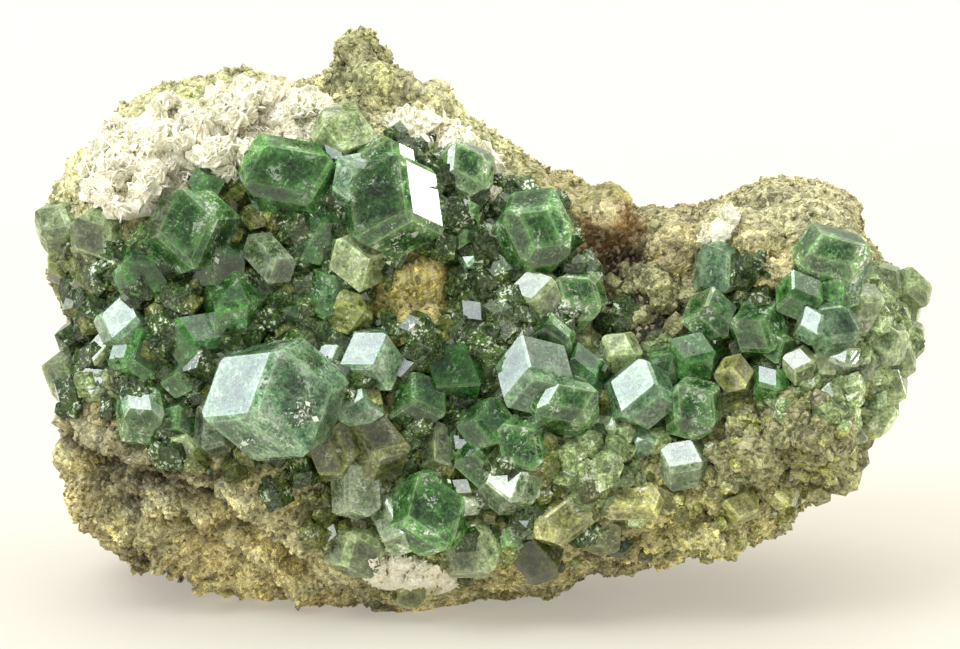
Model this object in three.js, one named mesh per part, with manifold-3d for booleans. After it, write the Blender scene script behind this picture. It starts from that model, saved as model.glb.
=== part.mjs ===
// A hand specimen of green garnet: see-through twelve-faced crystals grown together over one face of a
// granular skarn rock, with cream calcite crusts along its upper edge. Millimetres, +Z up, crystals
// towards -Y. The specimen is drawn in its face frame, where X runs to the right, Z up the crystal face
// and Y into the rock, and is then leant back so that it rests on the flat break under the rock.
import * as THREE from "three";
import { ConvexGeometry } from "three/addons/geometries/ConvexGeometry.js";
import { mergeVertices } from "three/addons/utils/BufferGeometryUtils.js";
import Module from "manifold-3d";

const wasm = await Module();
wasm.setup();

// ---- Driving dimensions ----
const leanDegrees = 15; // how far the crystal face leans back
const restHeight = -27.6; // level of the flat break under the rock, in the leant frame
const standAt = [-0.5, -0.5, 27.6]; // moves the leant specimen to the origin, at its base's middle
const gap = 0.3; // clearance between touching pieces
const chipVolume = 10; // crystal tips smaller than this, which the rock cuts off, are left out
const frontDepth = 11; // rock in front of its rim
const backDepth = 21; // rock behind its rim
const frontEdge = 8; // rounding of the rock's front edge, and of the longer slope of its flank
const flankEdge = 15;
const flankSetBack = 4; // how much further back the flank's rim lies
const backEdge = 15; // rounding of the back's edge
const backSwell = 3; // broad unevenness of the broken back
const belowSize = [200, 200, 60]; // the block that cuts the flat break
const columnDepth = 30; // past the front of the rock everywhere
const tiny = 1e-4; // places closer than this are one place
const rings = 11; // rings of points from the middle of the rock's front to the middle of its back

const lean = THREE.MathUtils.degToRad(leanDegrees);
const { degToRad, smoothstep, lerp } = THREE.MathUtils;

// ---- Rock ----
// The rock's rim as [x, z] in the face frame, clockwise from the peak.
const rim = [
  [-12.3, 30.5], [-9.6, 28.5], [-8, 26], [-4.1, 24.6], [0.2, 20.9], [3.3, 18.8], [8.4, 16], [12.3, 14.3],
  [16.8, 12.1], [21.1, 12.9], [25, 14], [28.9, 15.4], [33, 15.4], [37.4, 14], [40.2, 9.7], [42.5, 4.1],
  [43.4, -2], [42, -7.2], [39.6, -11.8], [37.5, -15.4], [33.8, -17], [31.6, -20.5], [24.6, -22.9],
  [17.4, -23.6], [12.3, -25.1], [3.1, -27.5], [-5.1, -29.6], [-13.6, -29.4], [-17.8, -28], [-21.4, -28.6],
  [-26.4, -26.8], [-30.8, -24.8], [-34.8, -24.6], [-39.2, -22.6], [-41.4, -19.6], [-42.8, -16.4],
  [-44.2, -13], [-44.2, -8.6], [-42.8, -3.1], [-43, 4.4], [-43.2, 11.8], [-41.6, 16.8], [-38.5, 19.6],
  [-35.3, 22.8], [-32.4, 25.2], [-27.2, 26.4], [-20.9, 26.6], [-16.4, 25.8], [-13.9, 28.7],
];
const spine = [[-20, 1], [24, -4]]; // the grid of the rock's surface runs from this line to the rim
const spineDepth = 4;

const sharpness = 6; // the higher, the closer the way to the rim is to the shortest one

// Broad hills and hollows of the crystal face: [x, z, radius, height].
const hills = [
  [-19, -8, 10, 3.4], [-9, 13, 9, 2.4], [-30, 8, 8, 1.6], [6, -9, 9, 2.6], [15.5, 6, 6, -6],
  [-7, 5, 4, -2.6], [24, 8, 6, -2.5], [34, -2, 8, 2.4], [36, 8, 5, 1.6], [27, -12, 7, 1.4],
];

// Where the shortest way from a place to a line from one place to another meets it.
function nearest([x, z], [ax, az], [bx, bz]) {
  const along = ((x - ax) * (bx - ax) + (z - az) * (bz - az)) / ((bx - ax) ** 2 + (bz - az) ** 2);
  const share = THREE.MathUtils.clamp(along, 0, 1);
  return [lerp(ax, bx, share), lerp(az, bz, share)];
}

// Way from a place inside the rim to the rim. Powers of the ways to all its edges are added, which
// is nearly the shortest of them, without a crease where two are the same.
function rimDistance(x, z) {
  const toEdges = rim.map((start, i) => {
    const [nearX, nearZ] = nearest([x, z], start, rim[(i + 1) % rim.length]);
    return Math.hypot(x - nearX, z - nearZ);
  });
  return toEdges.reduce((sum, way) => sum + (way + tiny) ** -sharpness, 0) ** (-1 / sharpness);
}

// Smooth noise from -1 to 1 whose lumps are one unit across.
function noise(x, y, z) {
  const corner = (i, j, k) => {
    const s = Math.sin(i * 127.1 + j * 311.7 + k * 74.7) * 43758.5453;
    return s - Math.floor(s);
  };
  const [i, j, k] = [Math.floor(x), Math.floor(y), Math.floor(z)];
  const ease = (t) => t * t * (3 - 2 * t);
  const [u, v, w] = [ease(x - i), ease(y - j), ease(z - k)];
  const edge = (dj, dk) => lerp(corner(i, j + dj, k + dk), corner(i + 1, j + dj, k + dk), u);
  return 2 * lerp(lerp(edge(0, 0), edge(1, 0), v), lerp(edge(0, 1), edge(1, 1), v), w) - 1;
}

// How far a place lies on the bare flank under the crystals at the lower left, from 0 to 1.
const flankShare = (x, z) => smoothstep(-0.5 * x - 0.87 * z, 9, 24) * smoothstep(-x, -9, 3);

// Height of the uneven rock over the smooth one: broad swells with smaller ones on them.
const relief = ({ x, y, z }) => 1.2 * noise(x / 7, y / 7, z / 7) + 0.6 * noise(x / 3, y / 3, z / 3);

const hillHeight = (x, z) =>
  hills.reduce((sum, [hx, hz, radius, height]) => {
    const far = ((x - hx) ** 2 + (z - hz) ** 2) / radius ** 2;
    return sum + height * Math.exp(-far);
  }, 0);

const quarterRound = (distance, radius) => Math.sqrt(1 - (1 - Math.min(1, distance / radius)) ** 2);

// The flank lies further back than the rest of the rim and is rounded further in.
const rimY = (x, z) => flankSetBack * flankShare(x, z);
// The same slope from 0 to 1 over the upper left, under its calcite.
const crownShare = (x, z) => smoothstep(z - x, 28, 45);
const frontRound = (x, z) => lerp(frontEdge, flankEdge, Math.max(flankShare(x, z), crownShare(x, z)));

// Depth of the smooth front at a place on the face.
function frontY(x, z) {
  const crown = frontDepth + hillHeight(x, z) + rimY(x, z);
  return rimY(x, z) - crown * quarterRound(rimDistance(x, z), frontRound(x, z));
}

// The same for the back, which is broken unevenly.
function backY(x, z) {
  const hollow = backDepth - rimY(x, z) + backSwell * noise(x / 11, 0, z / 11);
  return rimY(x, z) + hollow * quarterRound(rimDistance(x, z), backEdge);
}

// A point of the rock's surface on the way from the spine to a point of the rim: share runs from 0 in
// the middle of the front over 1 at the rim to 2 in the middle of the back.
function rockPoint(rimPoint, share) {
  const start = nearest(rimPoint, ...spine);
  const reach = Math.sin((share * Math.PI) / 2);
  const x = lerp(start[0], rimPoint[0], reach);
  const z = lerp(start[1], rimPoint[1], reach);
  const point = new THREE.Vector3(x, share < 1 ? frontY(x, z) : backY(x, z), z);
  const outwards = new THREE.Vector3(x - start[0], point.y - spineDepth, z - start[1]).normalize();
  return point.addScaledVector(outwards, relief(point));
}

// The rock's closed surface: a grid of rings, closed by a cap at the front and one at the back, all
// pushed outwards by grow.
function rockGeometry(grow = 0) {
  const points = [];
  for (let ring = 0; ring < rings; ring++) {
    points.push(...rim.map((rimPoint) => rockPoint(rimPoint, (2 * ring + 1) / rings)));
  }
  const around = rim.length;
  const faces = [];
  for (let ring = 0; ring < rings - 1; ring++) {
    for (let i = 0; i < around; i++) {
      const [a, b] = [ring * around + i, ring * around + ((i + 1) % around)];
      const [c, d] = [b + around, a + around];
      faces.push(a, b, c, a, c, d);
    }
  }
  const innermost = points.slice(0, around).map(({ x, z }) => new THREE.Vector2(x, z));
  const back = (rings - 1) * around;
  for (const [a, b, c] of THREE.ShapeUtils.triangulateShape(innermost, [])) {
    faces.push(a, b, c, a + back, c + back, b + back);
  }
  const geometry = new THREE.BufferGeometry().setFromPoints(points).setIndex(faces);
  geometry.computeVertexNormals();
  const normals = geometry.getAttribute("normal");
  const pushed = points.map((point, i) =>
    point.addScaledVector(new THREE.Vector3().fromBufferAttribute(normals, i), grow),
  );
  return geometry.setFromPoints(pushed);
}

// ---- Solids ----
function solidOf(geometry) {
  const bare = new THREE.BufferGeometry().setAttribute("position", geometry.getAttribute("position"));
  if (geometry.index) bare.setIndex(geometry.index);
  const merged = mergeVertices(bare, tiny);
  const mesh = new wasm.Mesh({
    numProp: 3,
    vertProperties: new Float32Array(merged.getAttribute("position").array),
    triVerts: new Uint32Array(merged.index.array),
  });
  return new wasm.Manifold(mesh);
}

const joined = (solids) => solids.reduce((whole, solid) => whole.add(solid));

// The largest separate piece of a solid, without the chips that a cut leaves.
function largest(solid) {
  return solid.decompose().sort((a, b) => b.volume() - a.volume())[0];
}

// ---- Garnet crystals ----
const signs = [-1, 1];
const turnedRound = (x, y, z) => [[x, y, z], [z, x, y], [y, z, x]];

// Outward directions of the twelve rhombs, and of the twenty-four faces that bevel their edges.
const rhombs = signs.flatMap((a) => signs.flatMap((b) => turnedRound(a, b, 0)));
const bevels = signs.flatMap((a) =>
  signs.flatMap((b) => signs.flatMap((c) => turnedRound(2 * a, b, c))),
);
const bevelReach = 2 / Math.sqrt(3); // this many rhomb distances away, a bevel only touches its edge

// Where three crystal faces meet, or null.
function meeting(p, q, r) {
  const volume = p.normal.dot(q.normal.clone().cross(r.normal));
  if (Math.abs(volume) < tiny) return null;
  return q.normal.clone().cross(r.normal).multiplyScalar(p.distance)
    .add(r.normal.clone().cross(p.normal).multiplyScalar(q.distance))
    .add(p.normal.clone().cross(q.normal).multiplyScalar(r.distance))
    .divideScalar(volume);
}

// A garnet crystal about the origin. Size is half its width between two rhombs. Stretch draws it out
// along one edge direction of its main rhomb, with every face at its own angle still.
function garnetGeometry(size, bevel, stretch) {
  const longWay = new THREE.Vector3(1, -1, 1).normalize();
  const face = (direction, distance) => {
    const normal = new THREE.Vector3(...direction).normalize();
    return { normal, distance: distance * (1 + stretch * Math.abs(normal.dot(longWay))) };
  };
  const faces = rhombs.map((direction) => face(direction, size));
  if (bevel < 1) faces.push(...bevels.map((direction) => face(direction, size * bevel * bevelReach)));
  const corners = [];
  faces.forEach((p, i) =>
    faces.slice(i + 1).forEach((q, j) =>
      faces.slice(i + j + 2).forEach((r) => {
        const corner = meeting(p, q, r);
        if (!corner || faces.some((f) => f.normal.dot(corner) > f.distance + tiny)) return;
        if (corners.every((other) => other.distanceTo(corner) > tiny)) corners.push(corner);
      }),
    ),
  );
  return new ConvexGeometry(corners);
}

// Turns the crystal so that its main rhomb looks along yaw (to the right) and pitch (up), with that
// rhomb's long diagonal turned by spin from the vertical.
function crystalTurn(yaw, pitch, spin) {
  const [a, b, c] = [yaw, pitch, spin].map(degToRad);
  const outward = new THREE.Vector3(Math.sin(a) * Math.cos(b), -Math.cos(a) * Math.cos(b), Math.sin(b));
  const upright = new THREE.Vector3(0, 0, 1).projectOnPlane(outward).normalize();
  const diagonal = upright.applyAxisAngle(outward, c);
  const own = new THREE.Matrix4().makeBasis(
    new THREE.Vector3(1, 1, 0).normalize(),
    new THREE.Vector3(1, -1, 0).normalize(),
    new THREE.Vector3(0, 0, -1),
  );
  const placed = new THREE.Matrix4().makeBasis(outward, diagonal, outward.clone().cross(diagonal));
  return placed.multiply(own.transpose());
}

// A crystal as [x, z, size, lift, yaw, pitch, spin, bevel, stretch]: its place on the face, its half
// width, how far its middle stands in front of the rock, and the numbers of the two functions above.
function crystalSolid([x, z, size, lift, yaw, pitch, spin, bevel = 1, stretch = 0], grow = 0) {
  const geometry = garnetGeometry(size + grow, bevel, stretch);
  geometry.applyMatrix4(crystalTurn(yaw, pitch, spin));
  return solidOf(geometry.translate(x, frontY(x, z) - lift, z));
}

// Crystals in rows of the numbers above, by the part of the face that they grow on.
const crystals = {
  left: [
    [-19.2, 15.1, 3.3, 1.6, 0, 6, 115, 0.93, 0.2], [-28.8, 9.8, 3.9, 1.6, -4, 4, 12, 0.94, 0.06],
    [-27.4, 14.3, 1.7, 1.6, -35, 25, 20], [-12, 14.8, 2.6, 1.6, -25, 5, 26],
    [-13.6, 19.4, 2.9, 0.8, 22, 12, 70], [-8.9, 12.6, 4.4, 1.2, 46, 10, 36, 1, 0.06],
    [-9.3, 16.6, 2.6, 1, 46, 10, 36], [-42.6, 9.8, 1.8, 0.6, -30, 5, 40, 1, 0.3],
    [-38.6, 9.8, 2.5, 0.8, -12, -12, 35], [-33.6, 5.7, 2.8, 0.4, 10, -10, 60],
    [-35.6, 0.4, 2.4, 1, -9, 20, -9], [-38.1, -2.4, 1.8, 0.8, -15, 20, 0],
    [-38.2, -5.3, 2.1, 1, -15, 18, -4], [-41.8, -4.8, 2.3, 0.4, -35, -5, 60, 1, 0.15],
    [-34, -2.2, 2.8, 0.3, 18, -6, 20], [-28.2, -1.2, 2.8, 0, -10, 25, 65],
    [-33.6, -8.3, 2.7, 0.8, -8, 20, 50, 1, 0.1], [-20.3, -5.8, 4.9, 2.2, -44, 14, 4, 1, 0.24],
    [-10.9, -3, 2.9, 1.4, -15, 18, -55], [-12.3, -7.4, 2.3, 0.8, -15, 18, -20],
    [-21, 7, 1.9, 1.4, -15, 20, 55, 1, 0.5], [-16.3, 9.4, 2, 0.6, -40, 10, 5, 1, 0.5],
    [-12.2, 7.2, 2.9, 0.6, 20, 30, 80], [-26.2, 6.4, 2.7, 0.2, 25, -15, 40],
    [-24.6, 2.8, 3, 0.4, -18, 28, 66, 1, 0.2], [-13.2, 1.6, 2.2, 0.8, 5, 40, 30],
  ],
  middle: [
    [-1.7, 15.7, 2.8, 0.8, 10, 12, 28], [-2.2, 10.6, 1.9, 0.4, -20, -10, 30, 1, 0.3],
    [-0.6, 7.3, 1.7, 0.6, -15, 20, -2], [5.4, 9.8, 3.5, 1.4, 8, -2, 62, 0.92, 0.14],
    [5.6, 3.4, 2.4, 0.8, -15, 24, -75], [9.8, 3.3, 2.5, 1.2, 4, 8, 50],
    [7.2, -0.9, 2, 1.2, -14, -10, 85, 1, 0.15], [14, -2.3, 1.9, 1.2, -6, 26, 60],
    [2, 1.7, 2.1, 0.2, 25, 25, 30], [-1.2, 1.3, 2, 0.2, -20, -15, 0],
    [-2.1, -4.1, 3.3, 0.6, -12, 8, 58], [-6.1, -7.1, 2.7, 1, 22, 14, 30],
    [5.7, -4.6, 3.7, 1.4, -41, 5, -3], [8.2, -7.3, 2.8, 1.8, 12, 6, -66, 1, 0.2],
    [10, -4.5, 2.6, 0.4, 15, 30, 10], [15.7, -6.5, 3.2, 1.6, -12, 18, -13],
    [18.6, -4, 2, 0.4, 30, -10, 25], [1, -9.6, 2.5, 0.8, 12, 20, 0], [4.2, -11.4, 2.8, 1, -8, -5, 45],
    [2.9, -15.4, 2.7, 1.6, -10, 18, 18], [0, -13.5, 1.9, 1, -5, -20, 80, 1, 0.4],
    [-4.2, -11.4, 1.5, 0.6, 20, 5, 35, 1, 0.7], [-10.4, -11.4, 3, 0.4, 10, 22, 70, 1, 0.1],
    [-14.6, -11.6, 2.4, 0.2, -25, -10, 55, 1, 0.3], [-8.6, -18.6, 2, 0.8, -38, 8, 72, 1, 0.9],
    [-5.4, -18.2, 3.1, 1.4, 8, 6, 20, 1, 0.06], [-0.8, -21.6, 3.2, 0.6, -10, -14, 55],
    [-12.4, -22, 2.7, 0.4, 15, -20, 25], [4.6, -19, 1.7, 0.8, -15, 20, 30],
    [8.4, -18.8, 1.8, 1.2, 10, 5, -18, 1, 0.5], [15.2, -17.1, 1.6, 1.2, 0, 4, -55, 1, 0.9],
    [5.8, -22.6, 2.2, 0.2, -10, -10, 75, 1, 0.2],
  ],
  right: [
    [23.8, 6, 2, 1.4, -12, 4, 34, 1, 0.3], [23.4, 1.3, 2.6, 1, 15, 18, 10],
    [27.6, 0.1, 2.6, 1, -14, -12, 52], [35.3, 7, 3, 1.2, 2, 10, -70, 0.92, 0.26],
    [31.9, 3.4, 2.3, 0.8, 14, 24, 30], [36, 3.6, 1.9, 1, -30, 8, 35],
    [33.2, 0.4, 1.7, 1.6, -15, 20, 25], [35, 0.2, 2.5, 0.8, 12, 10, 62],
    [37.9, 2, 2, 0.6, -40, 8, 5, 1, 0.3], [40.4, 4.6, 2.1, 0.4, 12, 10, 40],
    [43.4, 4, 2.2, 0.4, 32, 10, 15], [43.6, -0.5, 1.5, 0.4, 25, -5, 30],
    [40.1, -1.6, 2.5, 0.6, 5, 10, 20], [40.3, -5.2, 2.6, 0.4, 15, -5, 55],
    [39.5, -8.3, 2.3, 0.2, 12, -15, 10], [36.4, -12, 1.7, 0.2, 10, -18, 40],
    [21.6, -2.7, 2.4, 0.8, -10, 25, 70], [21.2, -7.8, 2.6, 1.6, 2, 2, 40, 0.94, 0.1],
    [25.6, -4.5, 1.8, 0.8, 20, 15, 0], [29, -5.3, 1.7, 1, -15, 20, 40],
    [31.9, -3.5, 1.6, 1.2, -15, 20, 80], [20.6, -13.3, 2.4, 0.6, -15, 20, 65],
    [24.6, -14.6, 1.7, 0.6, 10, -10, 30], [26, -17.4, 1.8, 0.4, 5, -5, 75],
  ],
};

// ---- Lumps and ledges of the rock ----
// Lumps fused to the rock, as [x, z, size, lift], each squarer or flatter than the next.
const rockLumps = [
  [-12, 28.2, 2.9, -1.6], [-9, 24.8, 3.4, -1], [-14.4, 25, 3, -1.2], [-4.6, 22, 3, -1],
  [-31, 23, 3.4, -1.4], [-25.2, 24.6, 3.2, -1.6], [-6.8, 5, 3.8, 0.2], [-6.2, 0.2, 3, 0.4],
  [12.4, 11.8, 3.2, -0.6], [19.8, 8, 3.2, 0], [17.6, 3.2, 2.6, 0.2], [28, 9.2, 2.7, 0.8],
  [28.2, 5.2, 2.4, 1], [32.6, -9.8, 4, 0.4], [27, -11.6, 2.8, 0.2], [34.6, -13.4, 2.8, -0.4],
  [11.4, -13.6, 3, 0], [24, -19.8, 3, -0.8], [-41, -12.4, 3.6, -0.8], [-38.2, -16.8, 3.8, -1],
  [-34.4, -21.2, 3.6, -1.2],
];
const lumpUnevenness = 0.3; // how far a lump's corners lie in or out, as a share of its size
const lumpDepth = 0.75; // a lump's depth as a share of its width

// A lump about the place that its row gives, turned and dented by where it lies.
function lumpSolid([x, z, size, lift], grow = 0) {
  const geometry = new THREE.IcosahedronGeometry(1, 0).rotateX(x).rotateZ(z);
  const corners = geometry.getAttribute("position");
  for (let i = 0; i < corners.count; i++) {
    const corner = new THREE.Vector3().fromBufferAttribute(corners, i);
    const uneven = 1 + lumpUnevenness * noise(corner.x * 1.7 + x, corner.y * 1.7 + z, corner.z * 1.7);
    corner.multiplyScalar(size * uneven + grow);
    corners.setXYZ(i, corner.x, corner.y * lumpDepth, corner.z);
  }
  return solidOf(geometry.translate(x, frontY(x, z) - lift, z));
}

// Strips of the flank that stand out as ledges, the first under the crystals' edge.
const ledges = [
  {
    thickness: 1.8,
    outline: [
      [-44, -6], [-36, -9], [-30, -11.4], [-24, -13.4], [-18, -16.8], [-12, -21.6], [-10.6, -25],
      [-13, -25.2], [-17, -22.6], [-22, -19.2], [-26, -16.4], [-31, -14.4], [-36, -12.8], [-44, -9],
    ],
  },
  {
    thickness: 1.3,
    outline: [
      [-31.4, -16.4], [-25, -18.4], [-19, -22.6], [-14, -26.8], [-15.6, -28.8], [-20.4, -25], [-26, -20.6],
      [-32, -18.6],
    ],
  },
  {
    thickness: 1.2,
    outline: [[-33, -20.4], [-27, -22.2], [-22.6, -25.6], [-24, -27.8], [-28.4, -24.6], [-33, -22.8]],
  },
];

// The part of the rock's grown surface that lies inside an outline of [x, z].
function skinSolid({ thickness, outline }, grow = 0) {
  const shape = new THREE.Shape(outline.map(([x, z]) => new THREE.Vector2(x, z)));
  const column = new THREE.ExtrudeGeometry(shape, { depth: columnDepth, bevelEnabled: false });
  return solidOf(rockGeometry(thickness + grow)).intersect(solidOf(column.rotateX(Math.PI / 2)));
}

// ---- Calcite crusts ----
// Each crust covers the rock inside its outline, and has lumps like the rock's.
const crusts = {
  calcite_upper: {
    thickness: 1.5,
    outline: [
      [-41.4, 16], [-39, 18.4], [-35.4, 19.8], [-32.6, 21.6], [-28.4, 21.8], [-24.8, 22.6], [-21, 24.6],
      [-16, 24.4], [-15, 22], [-15.2, 17.6], [-19, 18], [-23.6, 16.6], [-27.6, 14.6], [-31, 12.6],
      [-33.4, 10.8], [-37, 10.8], [-38.4, 13.2],
    ],
    lumps: [
      [-37.6, 15.4, 2.8, 0.6], [-33, 17.4, 3, 0.8], [-28.4, 19, 2.8, 0.8], [-23.6, 20.6, 2.8, 0.8],
      [-18.4, 21.4, 2.8, 0.8],
    ],
  },
  calcite_rind: {
    thickness: 1.4,
    outline: [
      [-9.6, 22], [-6, 21.6], [-2.6, 20.8], [0.8, 18.8], [2.4, 16.2], [2.8, 12.4], [0.8, 12], [0.6, 15.4],
      [-1.4, 17.6], [-4.4, 18.4], [-8.8, 19.4],
    ],
    lumps: [[-5.8, 20.4, 1.8, 0.8]],
  },
  calcite_lower: {
    thickness: 1.2,
    outline: [
      [-12.2, -22.8], [-9.6, -22.6], [-8, -24], [-5.4, -23.8], [-1.8, -24.6], [-2.4, -26.4], [-6, -26],
      [-8.4, -25.2], [-11.6, -25.4],
    ],
    lumps: [],
  },
  calcite_ridge: {
    thickness: 1.6,
    outline: [[21.8, 7.6], [24, 8.2], [25.2, 10], [27, 12], [25.4, 12.8], [23, 10.8]],
    lumps: [],
  },
};

const crustSolid = (crust) => joined([skinSolid(crust), ...crust.lumps.map((row) => lumpSolid(row))]);

// ---- Assembly ----
const specimen = new THREE.Group();
specimen.rotation.x = -lean;
specimen.position.set(...standAt);

const colours = {
  rock: { color: 0xa89f72, roughness: 0.95 },
  calcite: { color: 0xe6dcc0, roughness: 0.8 },
  garnet: { color: 0x4f7a4a, roughness: 0.12 },
};

function add(name, solid, finish) {
  const { vertProperties, triVerts } = solid.getMesh();
  const geometry = new THREE.BufferGeometry()
    .setAttribute("position", new THREE.BufferAttribute(vertProperties, 3))
    .setIndex(new THREE.BufferAttribute(triVerts, 1));
  const mesh = new THREE.Mesh(geometry, new THREE.MeshStandardMaterial(colours[finish]));
  mesh.name = name;
  specimen.add(mesh);
}

const floor = new THREE.BoxGeometry(...belowSize).translate(0, 0, restHeight - belowSize[2] / 2);
const rockSolid = (grow) =>
  joined([
    solidOf(rockGeometry(grow)),
    ...rockLumps.map((row) => lumpSolid(row, grow)),
    ...ledges.map((ledge) => skinSolid(ledge, grow)),
  ]);
const crystalRows = Object.values(crystals).flat();
const crystalsSolid = (grow) => joined(crystalRows.map((row) => crystalSolid(row, grow)));
const matrix = largest(rockSolid(0).subtract(solidOf(floor.rotateX(lean))));
const matrixWithGap = rockSolid(gap).add(matrix);
const garnetBodies = crystalsSolid(0)
  .subtract(matrixWithGap)
  .decompose()
  .filter((body) => body.volume() > chipVolume)
  .sort((a, b) => b.volume() - a.volume());
const taken = joined([matrixWithGap, crystalsSolid(gap)]);

add("matrix", matrix, "rock");
garnetBodies.forEach((body, i) => add(i ? `garnet_${i}` : "garnet_cluster", body, "garnet"));
for (const [name, crust] of Object.entries(crusts)) {
  add(name, largest(crustSolid(crust).subtract(taken)), "calcite");
}

export default new THREE.Group().add(specimen);
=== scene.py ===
# A hand specimen of green garnet: see-through crystals over one face of a granular rock, with cream
# calcite crusts. Shapes are worked out in millimetres in the specimen's face frame, where x runs to
# the right, z up the crystal face and y into the rock, and are then leant back and stood on the floor.
import math
import bmesh
import bpy
import numpy as np
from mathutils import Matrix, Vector


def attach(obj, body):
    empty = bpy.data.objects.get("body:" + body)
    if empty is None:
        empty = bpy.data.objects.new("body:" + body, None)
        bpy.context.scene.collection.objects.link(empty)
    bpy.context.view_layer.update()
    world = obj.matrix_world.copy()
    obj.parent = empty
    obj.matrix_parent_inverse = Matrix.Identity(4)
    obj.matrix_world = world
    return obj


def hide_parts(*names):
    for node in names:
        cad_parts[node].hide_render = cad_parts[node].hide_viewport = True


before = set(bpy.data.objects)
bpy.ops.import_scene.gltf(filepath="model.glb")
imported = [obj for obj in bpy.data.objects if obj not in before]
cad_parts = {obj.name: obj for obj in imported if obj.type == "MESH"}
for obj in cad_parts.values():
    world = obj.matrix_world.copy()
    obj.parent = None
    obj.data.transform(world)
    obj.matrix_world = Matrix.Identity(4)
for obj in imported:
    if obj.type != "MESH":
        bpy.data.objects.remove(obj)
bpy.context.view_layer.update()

rng = np.random.default_rng(11)
garnetNodes = sorted(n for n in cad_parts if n.startswith("garnet"))

stand = {"lean": math.radians(15), "at": np.array([-0.5, -0.5, 27.6]), "mm": 0.001}


def leant(vectors):
    # turned back about x by the lean
    x, y, z = np.moveaxis(np.asarray(vectors, float), -1, 0)
    c, s = math.cos(stand["lean"]), math.sin(stand["lean"])
    return np.stack([x, y * c + z * s, z * c - y * s], -1)


def standing(points):
    # face frame in millimetres to the standing specimen in metres
    return (leant(points) + stand["at"]) * stand["mm"]


def shade(r, g, b):
    # a colour given in 0 to 255 steps, as linear light
    v = np.array([r, g, b]) / 255
    return np.where(v <= 0.04045, v / 12.92, ((v + 0.055) / 1.055) ** 2.4)


def unit(v):
    # each vector at length one
    return v / np.maximum(np.linalg.norm(v, axis=-1, keepdims=True), 1e-12)


def smoothStep(v, low, high):
    # 0 below low and 1 above high, eased between them
    t = np.clip((v - low) / (high - low), 0, 1)
    return t * t * (3 - 2 * t)


def hashed(i, j, k, seed=0.0):
    # a random-looking number from 0 to 1 for each triple: the fraction of a large sine
    s = np.sin(i * 127.1 + j * 311.7 + k * 74.7 + seed * 19.19) * 43758.5453
    return s - np.floor(s)


def noise(points, size, seed=0.0):
    # smooth noise from -1 to 1, eased between random values at the corners of cubes of that size
    q = points / size
    c = np.floor(q)
    u, v, w = np.moveaxis((q - c) ** 2 * (3 - 2 * (q - c)), -1, 0)
    i, j, k = np.moveaxis(c, -1, 0)
    at = lambda a, b, d: hashed(i + a, j + b, k + d, seed)
    edge = lambda b, d: at(0, b, d) * (1 - u) + at(1, b, d) * u
    side = lambda d: edge(0, d) * (1 - v) + edge(1, d) * v
    return 2 * (side(0) * (1 - w) + side(1) * w) - 1


def roughness(points, size, octaves, seed=0.0):
    # noise with finer noise on it, each half as wide and half as high
    return sum(noise(points, size / 2**o, seed + 7 * o) / 2**o for o in range(octaves))


def cells(points, size, seed=0.0):
    # distance to the nearest of points scattered one to a cube, and that point's own random number
    q = points / size
    c = np.floor(q)
    nearest, own = np.full(len(q), 9.0), np.zeros(len(q))
    for di in (-1, 0, 1):
        for dj in (-1, 0, 1):
            for dk in (-1, 0, 1):
                i, j, k = np.moveaxis(c + (di, dj, dk), -1, 0)
                jitter = np.stack([hashed(i, j, k, seed + n) for n in (1, 2, 3)], -1)
                far = np.linalg.norm(np.stack([i, j, k], -1) + jitter - q, axis=-1)
                own = np.where(far < nearest, hashed(i, j, k, seed + 4), own)
                nearest = np.minimum(nearest, far)
    return nearest, own


def newPiece(name, points, faces, material, nodes, colours, smooth=False, domain="POINT"):
    # a mesh from whole arrays: points in the face frame, faces as one array or a list of them, and a colour
    # for each point or for each face corner; it rides on the body and stands for the nodes given
    groups = [np.atleast_2d(f) for f in ([faces] if isinstance(faces, np.ndarray) else faces)]
    sizes = np.concatenate([np.full(len(g), g.shape[1]) for g in groups])
    corners = np.concatenate([g.ravel() for g in groups])
    mesh = bpy.data.meshes.new(name)
    mesh.vertices.add(len(points))
    placed = standing(points)
    placed[:, 2] = np.maximum(placed[:, 2], 0)  # nothing reaches below the floor
    mesh.vertices.foreach_set("co", placed.astype(np.float32).ravel())
    mesh.loops.add(len(corners))
    mesh.loops.foreach_set("vertex_index", corners.astype(np.int32))
    mesh.polygons.add(len(sizes))
    mesh.polygons.foreach_set("loop_start", (np.cumsum(sizes) - sizes).astype(np.int32))
    mesh.polygons.foreach_set("use_smooth", np.full(len(sizes), smooth))
    mesh.update(calc_edges=True)
    layer = mesh.color_attributes.new("tint", "FLOAT_COLOR", domain)
    layer.data.foreach_set("color", np.c_[colours, np.ones(len(colours))].astype(np.float32).ravel())
    mesh.materials.append(material)
    piece = bpy.data.objects.new(name, mesh)
    bpy.context.scene.collection.objects.link(piece)
    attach(piece, "root")
    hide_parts(*nodes)
    return piece


def addNode(tree, kind, inputs=None, **settings):
    # a node with its settings, each input either a plain value or another node's output
    node = tree.nodes.new("ShaderNode" + kind)
    for key, value in settings.items():
        setattr(node, key, value)
    for key, value in (inputs or {}).items():
        if isinstance(value, bpy.types.NodeSocket):
            tree.links.new(value, node.inputs[key])
        else:
            node.inputs[key].default_value = value
    return node


def blank(name):
    # an empty material, its tree and its Object coordinates
    material = bpy.data.materials.new(name)
    material.use_nodes = True
    material.node_tree.nodes.clear()
    tree = material.node_tree
    return material, tree, addNode(tree, "TexCoord").outputs["Object"]


def mixed(tree, kind, share, a, b):
    # two colours mixed in a way and by a share
    inputs = {0: share, 6: a, 7: b}
    return addNode(tree, "Mix", inputs, data_type="RGBA", blend_type=kind).outputs[2]


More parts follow.
